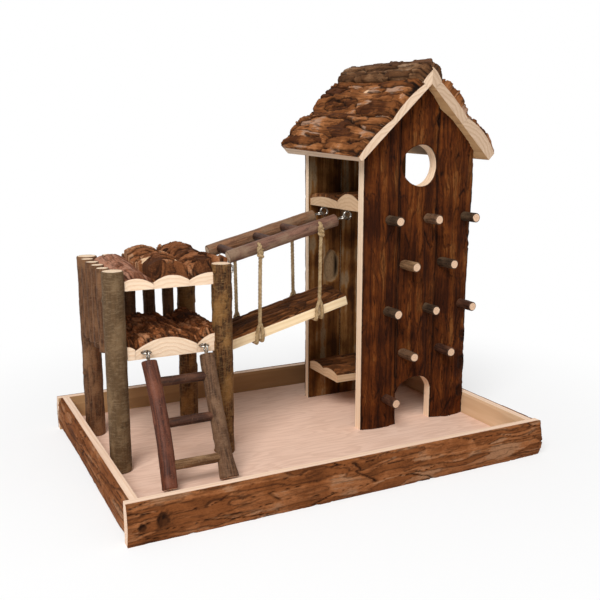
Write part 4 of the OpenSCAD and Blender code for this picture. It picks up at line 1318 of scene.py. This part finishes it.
@dataclass
class Tower:
    """Two bark-clad walls with two shelves, a gable roof and climbing pegs."""

    centre: float = 113.95
    lefts: tuple[float, float, float, float] = (58.2, 94.15, 133.75, 169.7)
    front: float = -21.0
    front_thick: tuple[float, float] = (10.0, 14.0)
    front_cut: float = -28.0
    back: float = 72.0
    back_thick: tuple[float, float] = (7.5, 10.5)
    back_cut: float = 77.0
    back_step: float = 1.0
    foot: float = 10.0
    spare: float = 8.0
    seam: float = 0.75
    wall_flare: float = 4.5
    window: tuple[float, float] = (245.2, 18.0)
    arch: tuple[float, float] = (34.2, 20.3)
    hollow: tuple[float, float] = (84.15, 144.0)
    hollow_size: tuple[float, float] = (8.5, 2.06)
    knots: tuple[tuple[Knot, ...], ...] = (
        (),
        (Knot(273.5, 2.0, 4.0, 1.5),),
        (Knot(24.0, 6.0, 4.5, 1.6), Knot(52.0, 5.0, 5.0, 1.4), Knot(78.0, 4.0, 4.0, 1.6)),
    )
    shelf_left: float = 59.9
    shelf_length: float = 108.1
    shelf_edge: float = 8.0
    shelves: tuple[Shelf, ...] = (
        Shelf("upper_shelf_front_slab", 205.8, -21.0, 18.5, 15.5, (7.2, 14.4)),
        Shelf("upper_shelf_back_slab", 205.8, 18.5, 72.0, 11.5, (6.4, 9.0)),
        Shelf("lower_shelf_front_slab", 41.3, 16.4, 44.2, 11.5, (7.0, 10.0)),
        Shelf("lower_shelf_back_slab", 41.3, 44.2, 72.0, 11.5, (7.0, 10.0)),
    )
    peak: float = 313.5
    pitch: float = 44.0
    rise: float = 2.0
    roof_front: float = -46.3
    roof_length: float = 140.8
    roof_bands: tuple[tuple[str, float, float], ...] = (
        ("ridge", -14.97, 5.5), ("middle", 5.5, 47.5), ("eave", 47.5, 92.0),
    )
    roof_thick: dict[tuple[str, str], Thickness] = field(default_factory=lambda: {
        ("left", "ridge"): Thickness(12.0, 15.5, (7.4, 8.4)),
        ("left", "middle"): Thickness(9.0, 13.0, (6.4, 8.6)),
        ("left", "eave"): Thickness(9.0, 13.0, (6.4, 8.6)),
        ("right", "ridge"): Thickness(12.0, 15.5, (8.6, 10.4)),
        ("right", "middle"): Thickness(10.5, 15.5, (7.8, 9.0)),
        ("right", "eave"): Thickness(10.5, 15.5, (7.6, 11.8)),
    })
    roof_taper: float = 3.0
    roof_fade: float = 5.0
    roof_chip: Knot = Knot(64.0, 16.5, 2.0, 1.2)
    peg: float = 8.6
    peg_step: float = 0.6
    peg_ends: tuple[float, float] = (-26.0, -52.0)
    peg_counts: tuple[int, ...] = (1, 2, 3, 2, 3)
    peg_odd: float = 81.9
    peg_even: float = 99.9
    peg_apart: float = 40.2
    peg_foot: float = 37.5
    peg_rise: float = 40.4
    peg_finishes: dict[tuple[int, int], Finish] = field(default_factory=lambda: {
        (1, 0): RUNG_BARK, (2, 0): GREY_BARK, (2, 1): RUNG_BARK,
        (3, 2): RUNG_BARK, (4, 0): TAN_BARK, (5, 1): GREY_BARK,
    })

    def build(self, bench: Bench) -> None:
        """Args: bench: makes the pieces."""
        self._walls(bench)
        self._shelves(bench)
        self._roof(bench)
        self._pegs(bench)

    def _gable(self, place: Matrix, y: float) -> tuple[Cut, Cut]:
        """Args: place: a wall slab's frame. y: the wall's place. Returns: both roof lines as cuts there."""
        slope = math.radians(self.pitch)
        home = place.inverted()
        peak = self.peak + (y - self.roof_front) * math.tan(math.radians(self.rise))
        point = home @ Vector((self.centre, 0.0, peak))
        cuts = []
        for side in (1, -1):
            normal = home.to_3x3() @ Vector((side * math.sin(slope), 0.0, math.cos(slope)))
            cuts.append(Cut((point.x, point.y, 0.0), tuple(normal)))
        return cuts[0], cuts[1]

    def _walls(self, bench: Bench) -> None:
        """Args: bench: makes the front and back walls' slabs."""
        tall = self.peak - self.foot + self.spare
        for number, side in enumerate(("left", "middle", "right")):
            low, high = self.lefts[number], self.lefts[number + 1]
            place = axes((high, self.front, self.foot), UP, -X)
            holes = (
                Hole(self.window[0] - self.foot, high - self.centre, self.window[1]),
                Hole(self.arch[0] - self.foot, high - self.centre, self.arch[1], True),
            )
            slab = Slab(
                f"front_wall_{side}_slab", tall, high - low, *self.front_thick, place, Bark.WALL,
                Seed.FRONT_WALL + number, WALL_BARK, inner=INNER_BARK, seam=self.seam,
                holes=holes if side == "middle" else (), cuts=self._gable(place, self.front_cut),
                knots=self.knots[number], flare=self.wall_flare if side == "right" else 0.0,
            )
            bench.piece(slab.name, slab.shaped(), "stand")
            place = axes((low, self.back, self.foot), UP, X)
            hollow = Knot(self.hollow[1] - self.foot, self.hollow[0] - low, *self.hollow_size)
            slab = Slab(
                f"back_wall_{side}_slab", tall, high - low, *self.back_thick, place, Bark.WALL,
                Seed.BACK_WALL + number, WALL_BARK, inner=INNER_BARK, seam=self.seam, step=self.back_step,
                cuts=self._gable(place, self.back_cut), hollow=hollow if side == "left" else None,
            )
            bench.piece(slab.name, slab.shaped(), "stand")

    def _shelves(self, bench: Bench) -> None:
        """Args: bench: makes the half-round shelves."""
        for number, shelf in enumerate(self.shelves):
            place = axes((self.shelf_left, shelf.near, shelf.z), X, Y)
            slab = Slab(
                shelf.node, self.shelf_length, shelf.far - shelf.near, self.shelf_edge, shelf.crest, place,
                Bark.SHELF, Seed.SHELVES + number, SHELF_BARK, SHELF_WOOD, core=shelf.core,
            )
            bench.piece(shelf.node, slab.shaped(), "stand")

    def _roof(self, bench: Bench) -> None:
        """Args: bench: makes the six roof slabs."""
        slope = math.radians(self.pitch)
        lean = Matrix.Rotation(math.radians(self.rise), 3, "X")
        back = lean @ Y
        for number, (band, low, high) in enumerate(self.roof_bands):
            for side, sign in (("left", -1), ("right", 1)):
                left, ridge, middle = side == "left", band == "ridge", band == "middle"
                thick = self.roof_thick[side, band]
                down = lean @ Vector((sign * math.cos(slope), 0.0, -math.sin(slope)))
                end = Vector((self.centre, self.roof_front, self.peak))
                end = end + back * (0.0 if left else self.roof_length)
                place = axes(tuple(end + down * low), back if left else -back, down)
                trim = None
                if ridge:
                    home = place.inverted()
                    trim = Cut(tuple(home @ end), tuple(home.to_3x3() @ (X * -sign)))
                slab = Slab(
                    f"roof_{side}_{band}_slab", self.roof_length, high - low, thick.edge, thick.crest, place,
                    Bark.RIDGE if ridge else Bark.ROOF, Seed.ROOF + 2 * number + (not left),
                    RIDGE_BARK if ridge else ROOF_BARK, ROOF_WOOD if left else GABLE_WOOD,
                    # painted shade on the roof slabs' undersides
                    under=SHADED_WOOD, core=thick.core, trim=trim,
                    taper=self.roof_taper if left and not ridge else 0.0,
                    chips=(self.roof_chip,) if left and middle else (),
                    fade=0.0 if middle and not left else self.roof_fade * sign,
                )
                bench.piece(slab.name, slab.shaped(), "stand")

    def _pegs(self, bench: Bench) -> None:
        """Args: bench: makes the rows of climbing pegs."""
        root, tip = self.peg_ends
        for row, count in enumerate(self.peg_counts, 1):
            node = f"climbing_pegs_row_{row}"
            first = self.peg_odd if row % 2 else self.peg_even
            z = self.peg_foot + self.peg_rise * (row - 1)
            shapes = []
            for column in range(count):
                x = first + self.peg_apart * column
                peg = Branch(
                    node, Vector((x, root, z)), Vector((x, tip, z)), self.peg, Seed.PEGS + 10 * row + column,
                    self.peg_finishes.get((row, column), PEG_BARK), PEG_END, step=self.peg_step,
                )
                shapes.append(peg.shaped())
            bench.piece(node, bench.joined(shapes), "stand")


class Plank(NamedTuple):
    """One slab of the deck or of the house's roof."""

    node: str
    low: float
    high: float
    edge: float
    crest: float
    core: tuple[float, float]
    relief: Bark
    bark: Finish
    taper: float = 0.0


class Post(NamedTuple):
    """How one post's bark has grown. A knot is its height, its share of a turn and its size."""

    row: str
    side: str
    bark: Finish
    rough: float
    flaking: float
    knots: tuple[tuple[float, float, float], ...] = ()


@dataclass
class House:
    """The small house on four posts, with fence sticks, a deck and a bark roof."""

    lefts: tuple[float, float] = (-157.3, -69.8)
    rows: tuple[float, float] = (-22.5, 68.0)
    foot: float = 10.0
    top: float = 170.1
    post: float = 16.6
    posts: tuple[Post, ...] = (
        Post("front", "left", GREY_POST, 0.35, 0.1, ((62.0, 0.3, 3.0), (138.0, 0.45, 2.0))),
        Post("front", "right", BROWN_POST, 0.6, 0.9, ((40.0, 0.2, 4.0),)),
        Post("back", "left", FENCE_BARK, 0.5, 0.4, ((58.0, 0.55, 3.0),)),
        Post("back", "right", BROWN_POST, 0.6, 0.8),
    )
    stick: float = 10.4
    cope: float = 8.5
    deck_z: float = 99.5
    roof_z: float = 154.2
    slab_back: float = 61.75
    slab_length: float = 87.15
    slab_fade: float = 9.0
    slab_step: float = 0.7
    stick_step: float = 0.8
    stick_flaking: float = 0.3
    left_fence_x: float = -160.7
    left_fence_y: tuple[float, ...] = (-4.4, 13.7, 31.8, 49.9)
    left_fence_lift: float = 4.0
    back_fence_x: tuple[float, ...] = (-139.8, -122.3, -104.8, -87.3)
    back_fence_y: float = 67.15
    planks: tuple[Plank, ...] = (
        Plank("deck_left_slab", -155.3, -142.9, 11.5, 16.5, (8.0, 11.0), Bark.DECK, DECK_BARK),
        Plank("deck_middle_slab", -142.9, -92.2, 11.5, 18.6, (7.2, 15.6), Bark.DECK, DECK_BARK),
        Plank("deck_right_slab", -92.2, -62.4, 11.5, 18.0, (7.2, 14.6), Bark.DECK, DECK_BARK),
        Plank("house_roof_left_slab", -155.3, -126.5, 9.0, 14.5, (6.4, 11.6), Bark.SMOOTH, FLAKE_BARK, -5.0),
        Plank("house_roof_middle_slab", -126.5, -97.8, 15.0, 20.0, (6.2, 11.0), Bark.THICK, HOUSE_BARK, -2.0),
        Plank("house_roof_right_slab", -97.8, -62.4, 15.0, 20.5, (6.2, 11.4), Bark.THICK, HOUSE_BARK, -3.0),
    )
    roof_chips: tuple[Knot, ...] = (Knot(50.0, 4.5, 2.6, 2.4), Knot(71.8, 23.5, 1.1, 1.5))

    def build(self, bench: Bench) -> None:
        """Args: bench: makes the pieces."""
        self._posts(bench)
        self._fence(bench)
        self._slabs(bench)

    def _posts(self, bench: Bench) -> None:
        """Args: bench: makes the four posts."""
        for number, look in enumerate(self.posts):
            node = f"post_{look.row}_{look.side}"
            x, y = self.lefts[look.side == "right"], self.rows[look.row == "back"]
            post = Branch(
                node, Vector((x, y, self.foot)), Vector((x, y, self.top)), self.post, Seed.POSTS + number,
                look.bark, rough=look.rough, flaking=look.flaking, knots=look.knots, step=self.stick_step,
            )
            bench.piece(node, post.shaped(), "stand")

    def _fence(self, bench: Bench) -> None:
        """Args: bench: makes the fence sticks, the last two of a side as one piece."""
        runs = {
            "left": [(self.left_fence_x, y) for y in self.left_fence_y],
            "back": [(x, self.back_fence_y) for x in self.back_fence_x],
        }
        for side, spots in runs.items():
            low = self.deck_z + (self.left_fence_lift if side == "left" else 0.0)
            for number, some in enumerate((spots[:1], spots[1:2], spots[2:]), 1):
                node = f"fence_{side}_stick_{number}"
                shapes = []
                for x, y in some:
                    stick = Branch(
                        node, Vector((x, y, low)), Vector((x, y, self.top)), self.stick,
                        Seed.FENCE + round(abs(x + y)), FENCE_BARK, flaking=self.stick_flaking,
                        step=self.stick_step,
                    )
                    shapes.append(stick.shaped())
                bench.piece(node, bench.joined(shapes), "stand")

    def _slabs(self, bench: Bench) -> None:
        """Args: bench: makes the deck's and the roof's slabs, coped round the posts."""
        for number, plank in enumerate(self.planks):
            roof = "roof" in plank.node
            place = axes((plank.low, self.slab_back, self.roof_z if roof else self.deck_z), -Y, X)
            holes = tuple(
                Hole(self.slab_back - y, x - plank.low, self.cope)
                for x in self.lefts for y in self.rows if plank.low - self.cope < x < plank.high + self.cope
            )
            slab = Slab(
                plank.node, self.slab_length, plank.high - plank.low, plank.edge, plank.crest, place,
                plank.relief, Seed.HOUSE + number, plank.bark, core=plank.core, holes=holes,
                taper=plank.taper, fade=self.slab_fade, step=self.slab_step,
                chips=self.roof_chips if plank.node == "house_roof_middle_slab" else (),
            )
            bench.piece(plank.node, slab.shaped(), "stand")


class LadderRail(NamedTuple):
    """How one rail of the ladder has grown, with a slot name that is not used."""

    side: str
    sign: int
    bark: Finish
    slot: str
    bow: float
    flare: float = 0.0
    knots: tuple[tuple[float, float, float], ...] = ()


@dataclass
class Ladder:
    """The ladder that hangs on linked screw eyes from the deck."""

    axis: Vector = field(default_factory=lambda: Vector((-112.15, -33.6, 106.0)))
    lean: float = 27.0
    half: float = 23.5
    rail: float = 12.0
    rail_from: float = 6.25
    rail_to: float = 103.94
    rails: tuple[LadderRail, ...] = (
        LadderRail("left", -1, RED_BARK, "ladder_red_bark", 1.8),
        LadderRail("right", 1, GREY_BARK, "ladder_grey_bark", -0.8, 1.4, ((66.0, 0.2, 4.0),)),
    )
    rungs: tuple[float, float, float] = (23.25, 55.25, 87.25)
    rung: float = 7.4
    rung_half: float = 22.0
    rung_rough: float = 0.25
    ring_down: float = 1.65
    deck_ring_y: float = -30.0

    def spot(self, across: float, down: float) -> Vector:
        """Args: across: from the middle. down: along the hanging ladder. Returns: the point in the row."""
        lean = math.radians(self.lean)
        return self.axis + Vector((across, -down * math.sin(lean), -down * math.cos(lean)))

    def build(self, bench: Bench) -> None:
        """Args: bench: makes the pieces."""
        for number, look in enumerate(self.rails):
            node = f"ladder_{look.side}_rail"
            ends = [self.spot(look.sign * self.half, down) for down in (self.rail_from, self.rail_to)]
            rail = Branch(
                node, *ends, self.rail, Seed.LADDER_RAILS + number, look.bark, flare=look.flare,
                bow=X * look.bow, knots=look.knots,
            )
            bench.piece(node, rail.shaped(), "ladder")
        for number, down in enumerate(self.rungs):
            node = f"ladder_rung_{number + 1}"
            bark = TAN_BARK if number == 2 else RUNG_BARK
            ends = [self.spot(sign * self.rung_half, down) for sign in (-1, 1)]
            rung = Branch(
                node, *ends, self.rung, Seed.LADDER_RUNGS + number, bark, rough=self.rung_rough
            )
            bench.piece(node, rung.shaped(), "ladder")
        hang = Matrix.Rotation(math.radians(-self.lean), 4, "X") @ Matrix.Rotation(math.pi / 2, 4, "Z")
        eyes = [Matrix.Translation(self.spot(s * self.half, self.ring_down)) @ hang for s in (-1, 1)]
        bench.eyes("ladder_eyes", eyes, "ladder")
        lie = Matrix.Rotation(math.pi / 2, 4, "X")
        spots = [(self.axis.x + s * self.half, self.deck_ring_y, self.axis.z) for s in (-1, 1)]
        held = [Matrix.Translation(spot) @ lie for spot in spots]
        bench.eyes("deck_eyes", held, "stand")


@dataclass
class Bridge:
    """Two sloping rails with rungs between them, and a bark board hung below on jute ropes."""

    slope: float = 14.5906
    rows: tuple[float, float] = (-1.25, 52.25)
    start: tuple[float, float] = (-56.15, 169.846)
    length: float = 114.614
    rail: float = 11.0
    rungs: tuple[float, float, float] = (11.5, 47.0, 75.0)
    rung: float = 7.4
    rail_rows: tuple[float, float] = (3.35, 47.65)
    rail_rough: float = 0.35
    rail_trims: tuple[tuple[float, float], tuple[float, float]] = ((2.5, 5.4), (0.5, 4.6))
    back_knot: tuple[float, float, float] = (38.0, 0.5, 2.6)
    rung_half: float = 21.0
    rung_rough: float = 0.25
    house_rail_eye: tuple[float, float] = (-52.55, 160.5)
    house_eye: tuple[float, float] = (-57.8, 160.5)
    tower_eye: tuple[float, float] = (61.7, 201.2)
    rail_eye_out: float = 1.9
    rope_x: tuple[float, float] = (-27.0, 31.2)
    rope: float = 3.5
    pivot_drop: float = 69.25
    sling_half: float = 2.7
    sling_high: float = 71.35
    sling_low: float = 82.48
    board_start: tuple[float, float, float] = (-59.1, 0.85, 98.078)
    board_length: float = 122.24
    board_width: float = 49.3
    board_edge: float = 9.0
    board_crest: float = 12.5
    board_core: tuple[float, float] = (8.2, 11.4)

    def along(self) -> Vector:
        """Returns: the rails' direction, up to the tower."""
        tilt = math.radians(self.slope)
        return Vector((math.cos(tilt), 0.0, math.sin(tilt)))

    def spot(self, far: float, y: float) -> Vector:
        """Args: far: along a rail from its house end. y: the row. Returns: the point in the row frame."""
        return Vector((self.start[0], y, self.start[1])) + self.along() * far

    def build(self, bench: Bench) -> None:
        """Args: bench: makes the pieces."""
        self._ropes(bench)
        self._rails(bench)
        self._eyes(bench)
        self._board(bench)

    def _rails(self, bench: Bench) -> None:
        """Args: bench: makes the rails and the rungs between them."""
        sides = zip(("front", "back"), self.rail_rows, self.rail_trims)
        for number, (side, y, (low, high)) in enumerate(sides):
            node = f"bridge_{side}_rail"
            rail = Branch(
                node, self.spot(low, y), self.spot(self.length - high, y), self.rail,
                Seed.BRIDGE_RAILS + number, MAUVE_BARK if side == "front" else AMBER_BARK,
                rough=self.rail_rough, knots=(self.back_knot,) if side == "back" else (),
            )
            bench.piece(node, rail.shaped(), "stand")
        middle = sum(self.rows) / 2
        for number, far in enumerate(self.rungs):
            node = f"bridge_rung_{number + 1}"
            ends = (self.spot(far, middle - self.rung_half), self.spot(far, middle + self.rung_half))
            rung = Branch(
                node, *ends, self.rung, Seed.BRIDGE_RUNGS + number, RUNG_BARK, rough=self.rung_rough
            )
            bench.piece(node, rung.shaped(), "stand")

    def _eyes(self, bench: Bench) -> None:
        """Args: bench: makes the linked screw eyes at the rails' ends."""
        quarter = math.pi / 2
        flat = Matrix.Rotation(quarter, 4, "Y") @ Matrix.Rotation(quarter, 4, "Z")
        over = Matrix.Rotation(math.pi, 4, "X")
        tilt = Matrix.Rotation(-math.radians(self.slope), 4, "Y")
        rails, carriers = [], []
        for y in self.rail_rows:
            below, house, tower = (
                Matrix.Translation((x, y, z))
                for x, z in (self.house_rail_eye, self.house_eye, self.tower_eye)
            )
            upper_end = Matrix.Translation(self.spot(self.length + self.rail_eye_out, y))
            rails += [below @ over, upper_end @ tilt @ flat]
            carriers += [house @ flat, tower @ over]
        bench.eyes("bridge_rail_eyes", rails, "stand")
        bench.eyes("bridge_carrier_eyes", carriers, "stand")

    def _board(self, bench: Bench) -> None:
        """Args: bench: makes the walking board."""
        along = self.along()
        up = along.cross(Y)
        start = Vector(self.board_start) - up * self.board_edge
        slab = Slab(
            "bridge_board", self.board_length, self.board_width, self.board_edge, self.board_crest,
            axes(tuple(start), along, Y), Bark.SHELF, Seed.BOARD, SHELF_BARK, BOARD_WOOD,
            core=self.board_core,
        )
        bench.piece("bridge_board", slab.shaped(), "board")

    def _axis_z(self, x: float) -> float:
        """Args: x: along the bridge. Returns: the rails' middle height there."""
        return self.start[1] + (x - self.start[0]) * math.tan(math.radians(self.slope))

    def _ropes(self, bench: Bench) -> None:
        """Args: bench: makes the hanging ropes and the slings under the board."""
        twine = Twine(self.rope)
        for side, y, out in (("front", self.rows[0], -1), ("back", self.rows[1], 1)):
            paths = [path for x in self.rope_x for path in self._hanging(x, y, out)]
            node = f"bridge_{side}_ropes"
            mesh = twine.mesh(node, paths)
            bench.piece(node, Shaped(mesh, (JUTE,)), f"{side}_ropes")
        slings = [path for x in self.rope_x for path in self._sling(x)]
        bench.piece("bridge_slings", Shaped(twine.mesh("bridge_slings", slings), (JUTE,)), "board")

    def _hanging(self, x: float, y: float, out: int) -> list[list[Vector]]:
        """Args: x, y: where the rope hangs. out: which way is outward.

        Returns: the lines of its drop, knot and tail.
        """
        top = Vector((x, y, self._axis_z(x)))
        neck = top + Vector((0.0, out * 2.6, -4.6))
        knot, steps, turns = [], 32, 2.1
        for i in range(steps + 1):
            angle = math.tau * turns * i / steps
            round_neck = (1.7 * math.cos(angle), 1.2 * math.sin(angle), 3.2 - 6.4 * i / steps)
            knot.append(neck + Vector(round_neck))
        loose = ((-1.0, 0.8, 1.0), (-2.4, 1.4, 3.4), (-1.8, 2.0, 6.0))
        tail = [neck + Vector((along, out * side, up)) for along, side, up in loose]
        bends = ((-0.8, 3.2), (1.8, 2.6), (2.6, -1.0), (2.5, -6.0), (1.4, -22.0))
        drop = [top + Vector((0.0, out * side, up)) for side, up in bends]
        drop.append(top - UP * (self.pivot_drop - 2.0))
        return [drop, knot, tail]

    def _sling(self, x: float) -> list[list[Vector]]:
        """Args: x: where the sling goes round the board. Returns: lines of the two strands side by side."""
        z = self._axis_z(x)
        paths = []
        near, far = self.rows
        for shift in (-self.sling_half, self.sling_half):
            lean = shift * math.tan(math.radians(self.slope))
            high, low = z - self.sling_high + lean, z - self.sling_low + lean
            fall = ((0.1, high + 5), (0.7, high + 1), (1.0, high - 3), (1.0, low))
            path = [Vector((x + share * shift, near, height)) for share, height in fall]
            path += [Vector((x + shift, y, low)) for y in (near + 3, far - 3)]
            path += [Vector((x + share * shift, far, height)) for share, height in reversed(fall)]
            paths.append(path)
        return paths


@dataclass
class Studio:
    """The pale floor, soft light and camera."""

    eye: tuple[float, float, float] = (-293.7, -609.7, 265.5)
    ahead: tuple[float, float, float] = (0.4399, 0.8762, -0.1968)
    lens: float = 47.25
    sensor: float = 36.0
    nearest: float = 0.02
    aim: tuple[float, float, float] = (0.0, 0.0, 0.12)
    key_place: tuple[float, float, float] = (-1.3, -1.5, 2.1)
    key_power: float = 74.0
    key_size: float = 1.3
    fill_place: tuple[float, float, float] = (1.9, -1.2, 1.2)
    fill_power: float = 6.0
    fill_size: float = 2.0
    ambient: float = 0.32
    floor_radius: float = 9.0
    floor_grey: float = 0.93
    floor_roughness: float = 0.9
    white_from: tuple[float, float] = (0.18, 0.5)
    least_white: float = 0.55

    def build(self) -> None:
        """Makes the camera, the light and the floor."""
        self._camera()
        self._lamp("key", self.key_place, self.key_power, self.key_size)
        self._lamp("fill", self.fill_place, self.fill_power, self.fill_size)
        self._world()
        self._floor()

    def _camera(self) -> None:
        """Sets the camera at the photograph's view."""
        data = bpy.data.cameras.new("camera")
        data.lens = self.lens
        data.sensor_width = self.sensor
        data.clip_start = self.nearest
        made = bpy.data.objects.new("camera", data)
        turn = Vector(self.ahead).to_track_quat("-Z", "Y").to_matrix().to_4x4()
        made.matrix_world = Matrix.Translation(Vector(self.eye) * MM) @ turn
        bpy.context.scene.collection.objects.link(made)
        bpy.context.scene.camera = made

    def _lamp(self, name: str, place: tuple[float, float, float], power: float, size: float) -> None:
        """Args: name: the lamp's name. place: where, in metres. power: in watts. size: across, in metres."""
        data = bpy.data.lights.new(name, "AREA")
        data.energy = power
        data.size = size
        made = bpy.data.objects.new(name, data)
        turn = (Vector(self.aim) - Vector(place)).to_track_quat("-Z", "Y").to_matrix().to_4x4()
        made.matrix_world = Matrix.Translation(place) @ turn
        bpy.context.scene.collection.objects.link(made)

    def _world(self) -> None:
        """Sets a white surround for what is seen, and a softer one for the light."""
        scene = bpy.context.scene
        scene.view_settings.view_transform = "Standard"
        world = bpy.data.worlds.new("studio")
        world.use_nodes = True
        scene.world = world
        wires = Wiring(world.node_tree)
        path = wires.node("ShaderNodeLightPath").outputs
        seen = wires.sums("MAXIMUM", path["Is Camera Ray"], path["Is Transmission Ray"])
        seen = wires.sums("MAXIMUM", seen, path["Is Glossy Ray"])
        strength = wires.span(seen, 0.0, 1.0, self.ambient, 1.0)
        wires.feed(world.node_tree.nodes["Background"].inputs["Color"], (1.0, 1.0, 1.0, 1.0))
        wires.feed(world.node_tree.nodes["Background"].inputs["Strength"], strength)

    def _floor(self) -> None:
        """Makes the floor: pale where the shadow falls, and plain white away from it."""
        bm = bmesh.new()
        bmesh.ops.create_circle(bm, cap_ends=True, radius=self.floor_radius, segments=96)
        mesh = as_mesh(bm, "floor")
        made = bpy.data.objects.new("floor", mesh)
        bpy.context.scene.collection.objects.link(made)
        finish = bpy.data.materials.new("floor")
        finish.use_nodes = True
        nodes = finish.node_tree.nodes
        wires = Wiring(finish.node_tree)
        shader = nodes["Principled BSDF"]
        shader.inputs["Roughness"].default_value = self.floor_roughness
        shader.inputs["Specular IOR Level"].default_value = 0.0
        shader.inputs["Base Color"].default_value = (*[self.floor_grey] * 3, 1.0)
        place = wires.node("ShaderNodeTexCoord").outputs["Object"]
        reach = wires.node("ShaderNodeVectorMath", {0: place}, operation="LENGTH").outputs["Value"]
        seen = wires.node("ShaderNodeLightPath").outputs["Is Camera Ray"]
        white = wires.node("ShaderNodeEmission", {"Color": (1.0, 1.0, 1.0, 1.0), "Strength": 1.0})
        share = wires.sums("MULTIPLY", wires.span(reach, *self.white_from, self.least_white, 1.0), seen)
        mixed = wires.node("ShaderNodeMixShader", {0: share, 1: shader.outputs[0], 2: white.outputs[0]})
        wires.feed(nodes["Material Output"].inputs["Surface"], mixed.outputs[0])
        mesh.materials.append(finish)


def main() -> None:
    """Builds the studio and every sub-assembly in order."""
    logging.basicConfig(level=logging.INFO, format="%(name)s: %(message)s")
    Studio().build()
    bench = Bench()
    for assembly in (Bridge(), Tray(), Tower(), House(), Ladder()):
        assembly.build(bench)
        LOG.info("%s done", type(assembly).__name__)


if __name__ == "__main__":
    main()
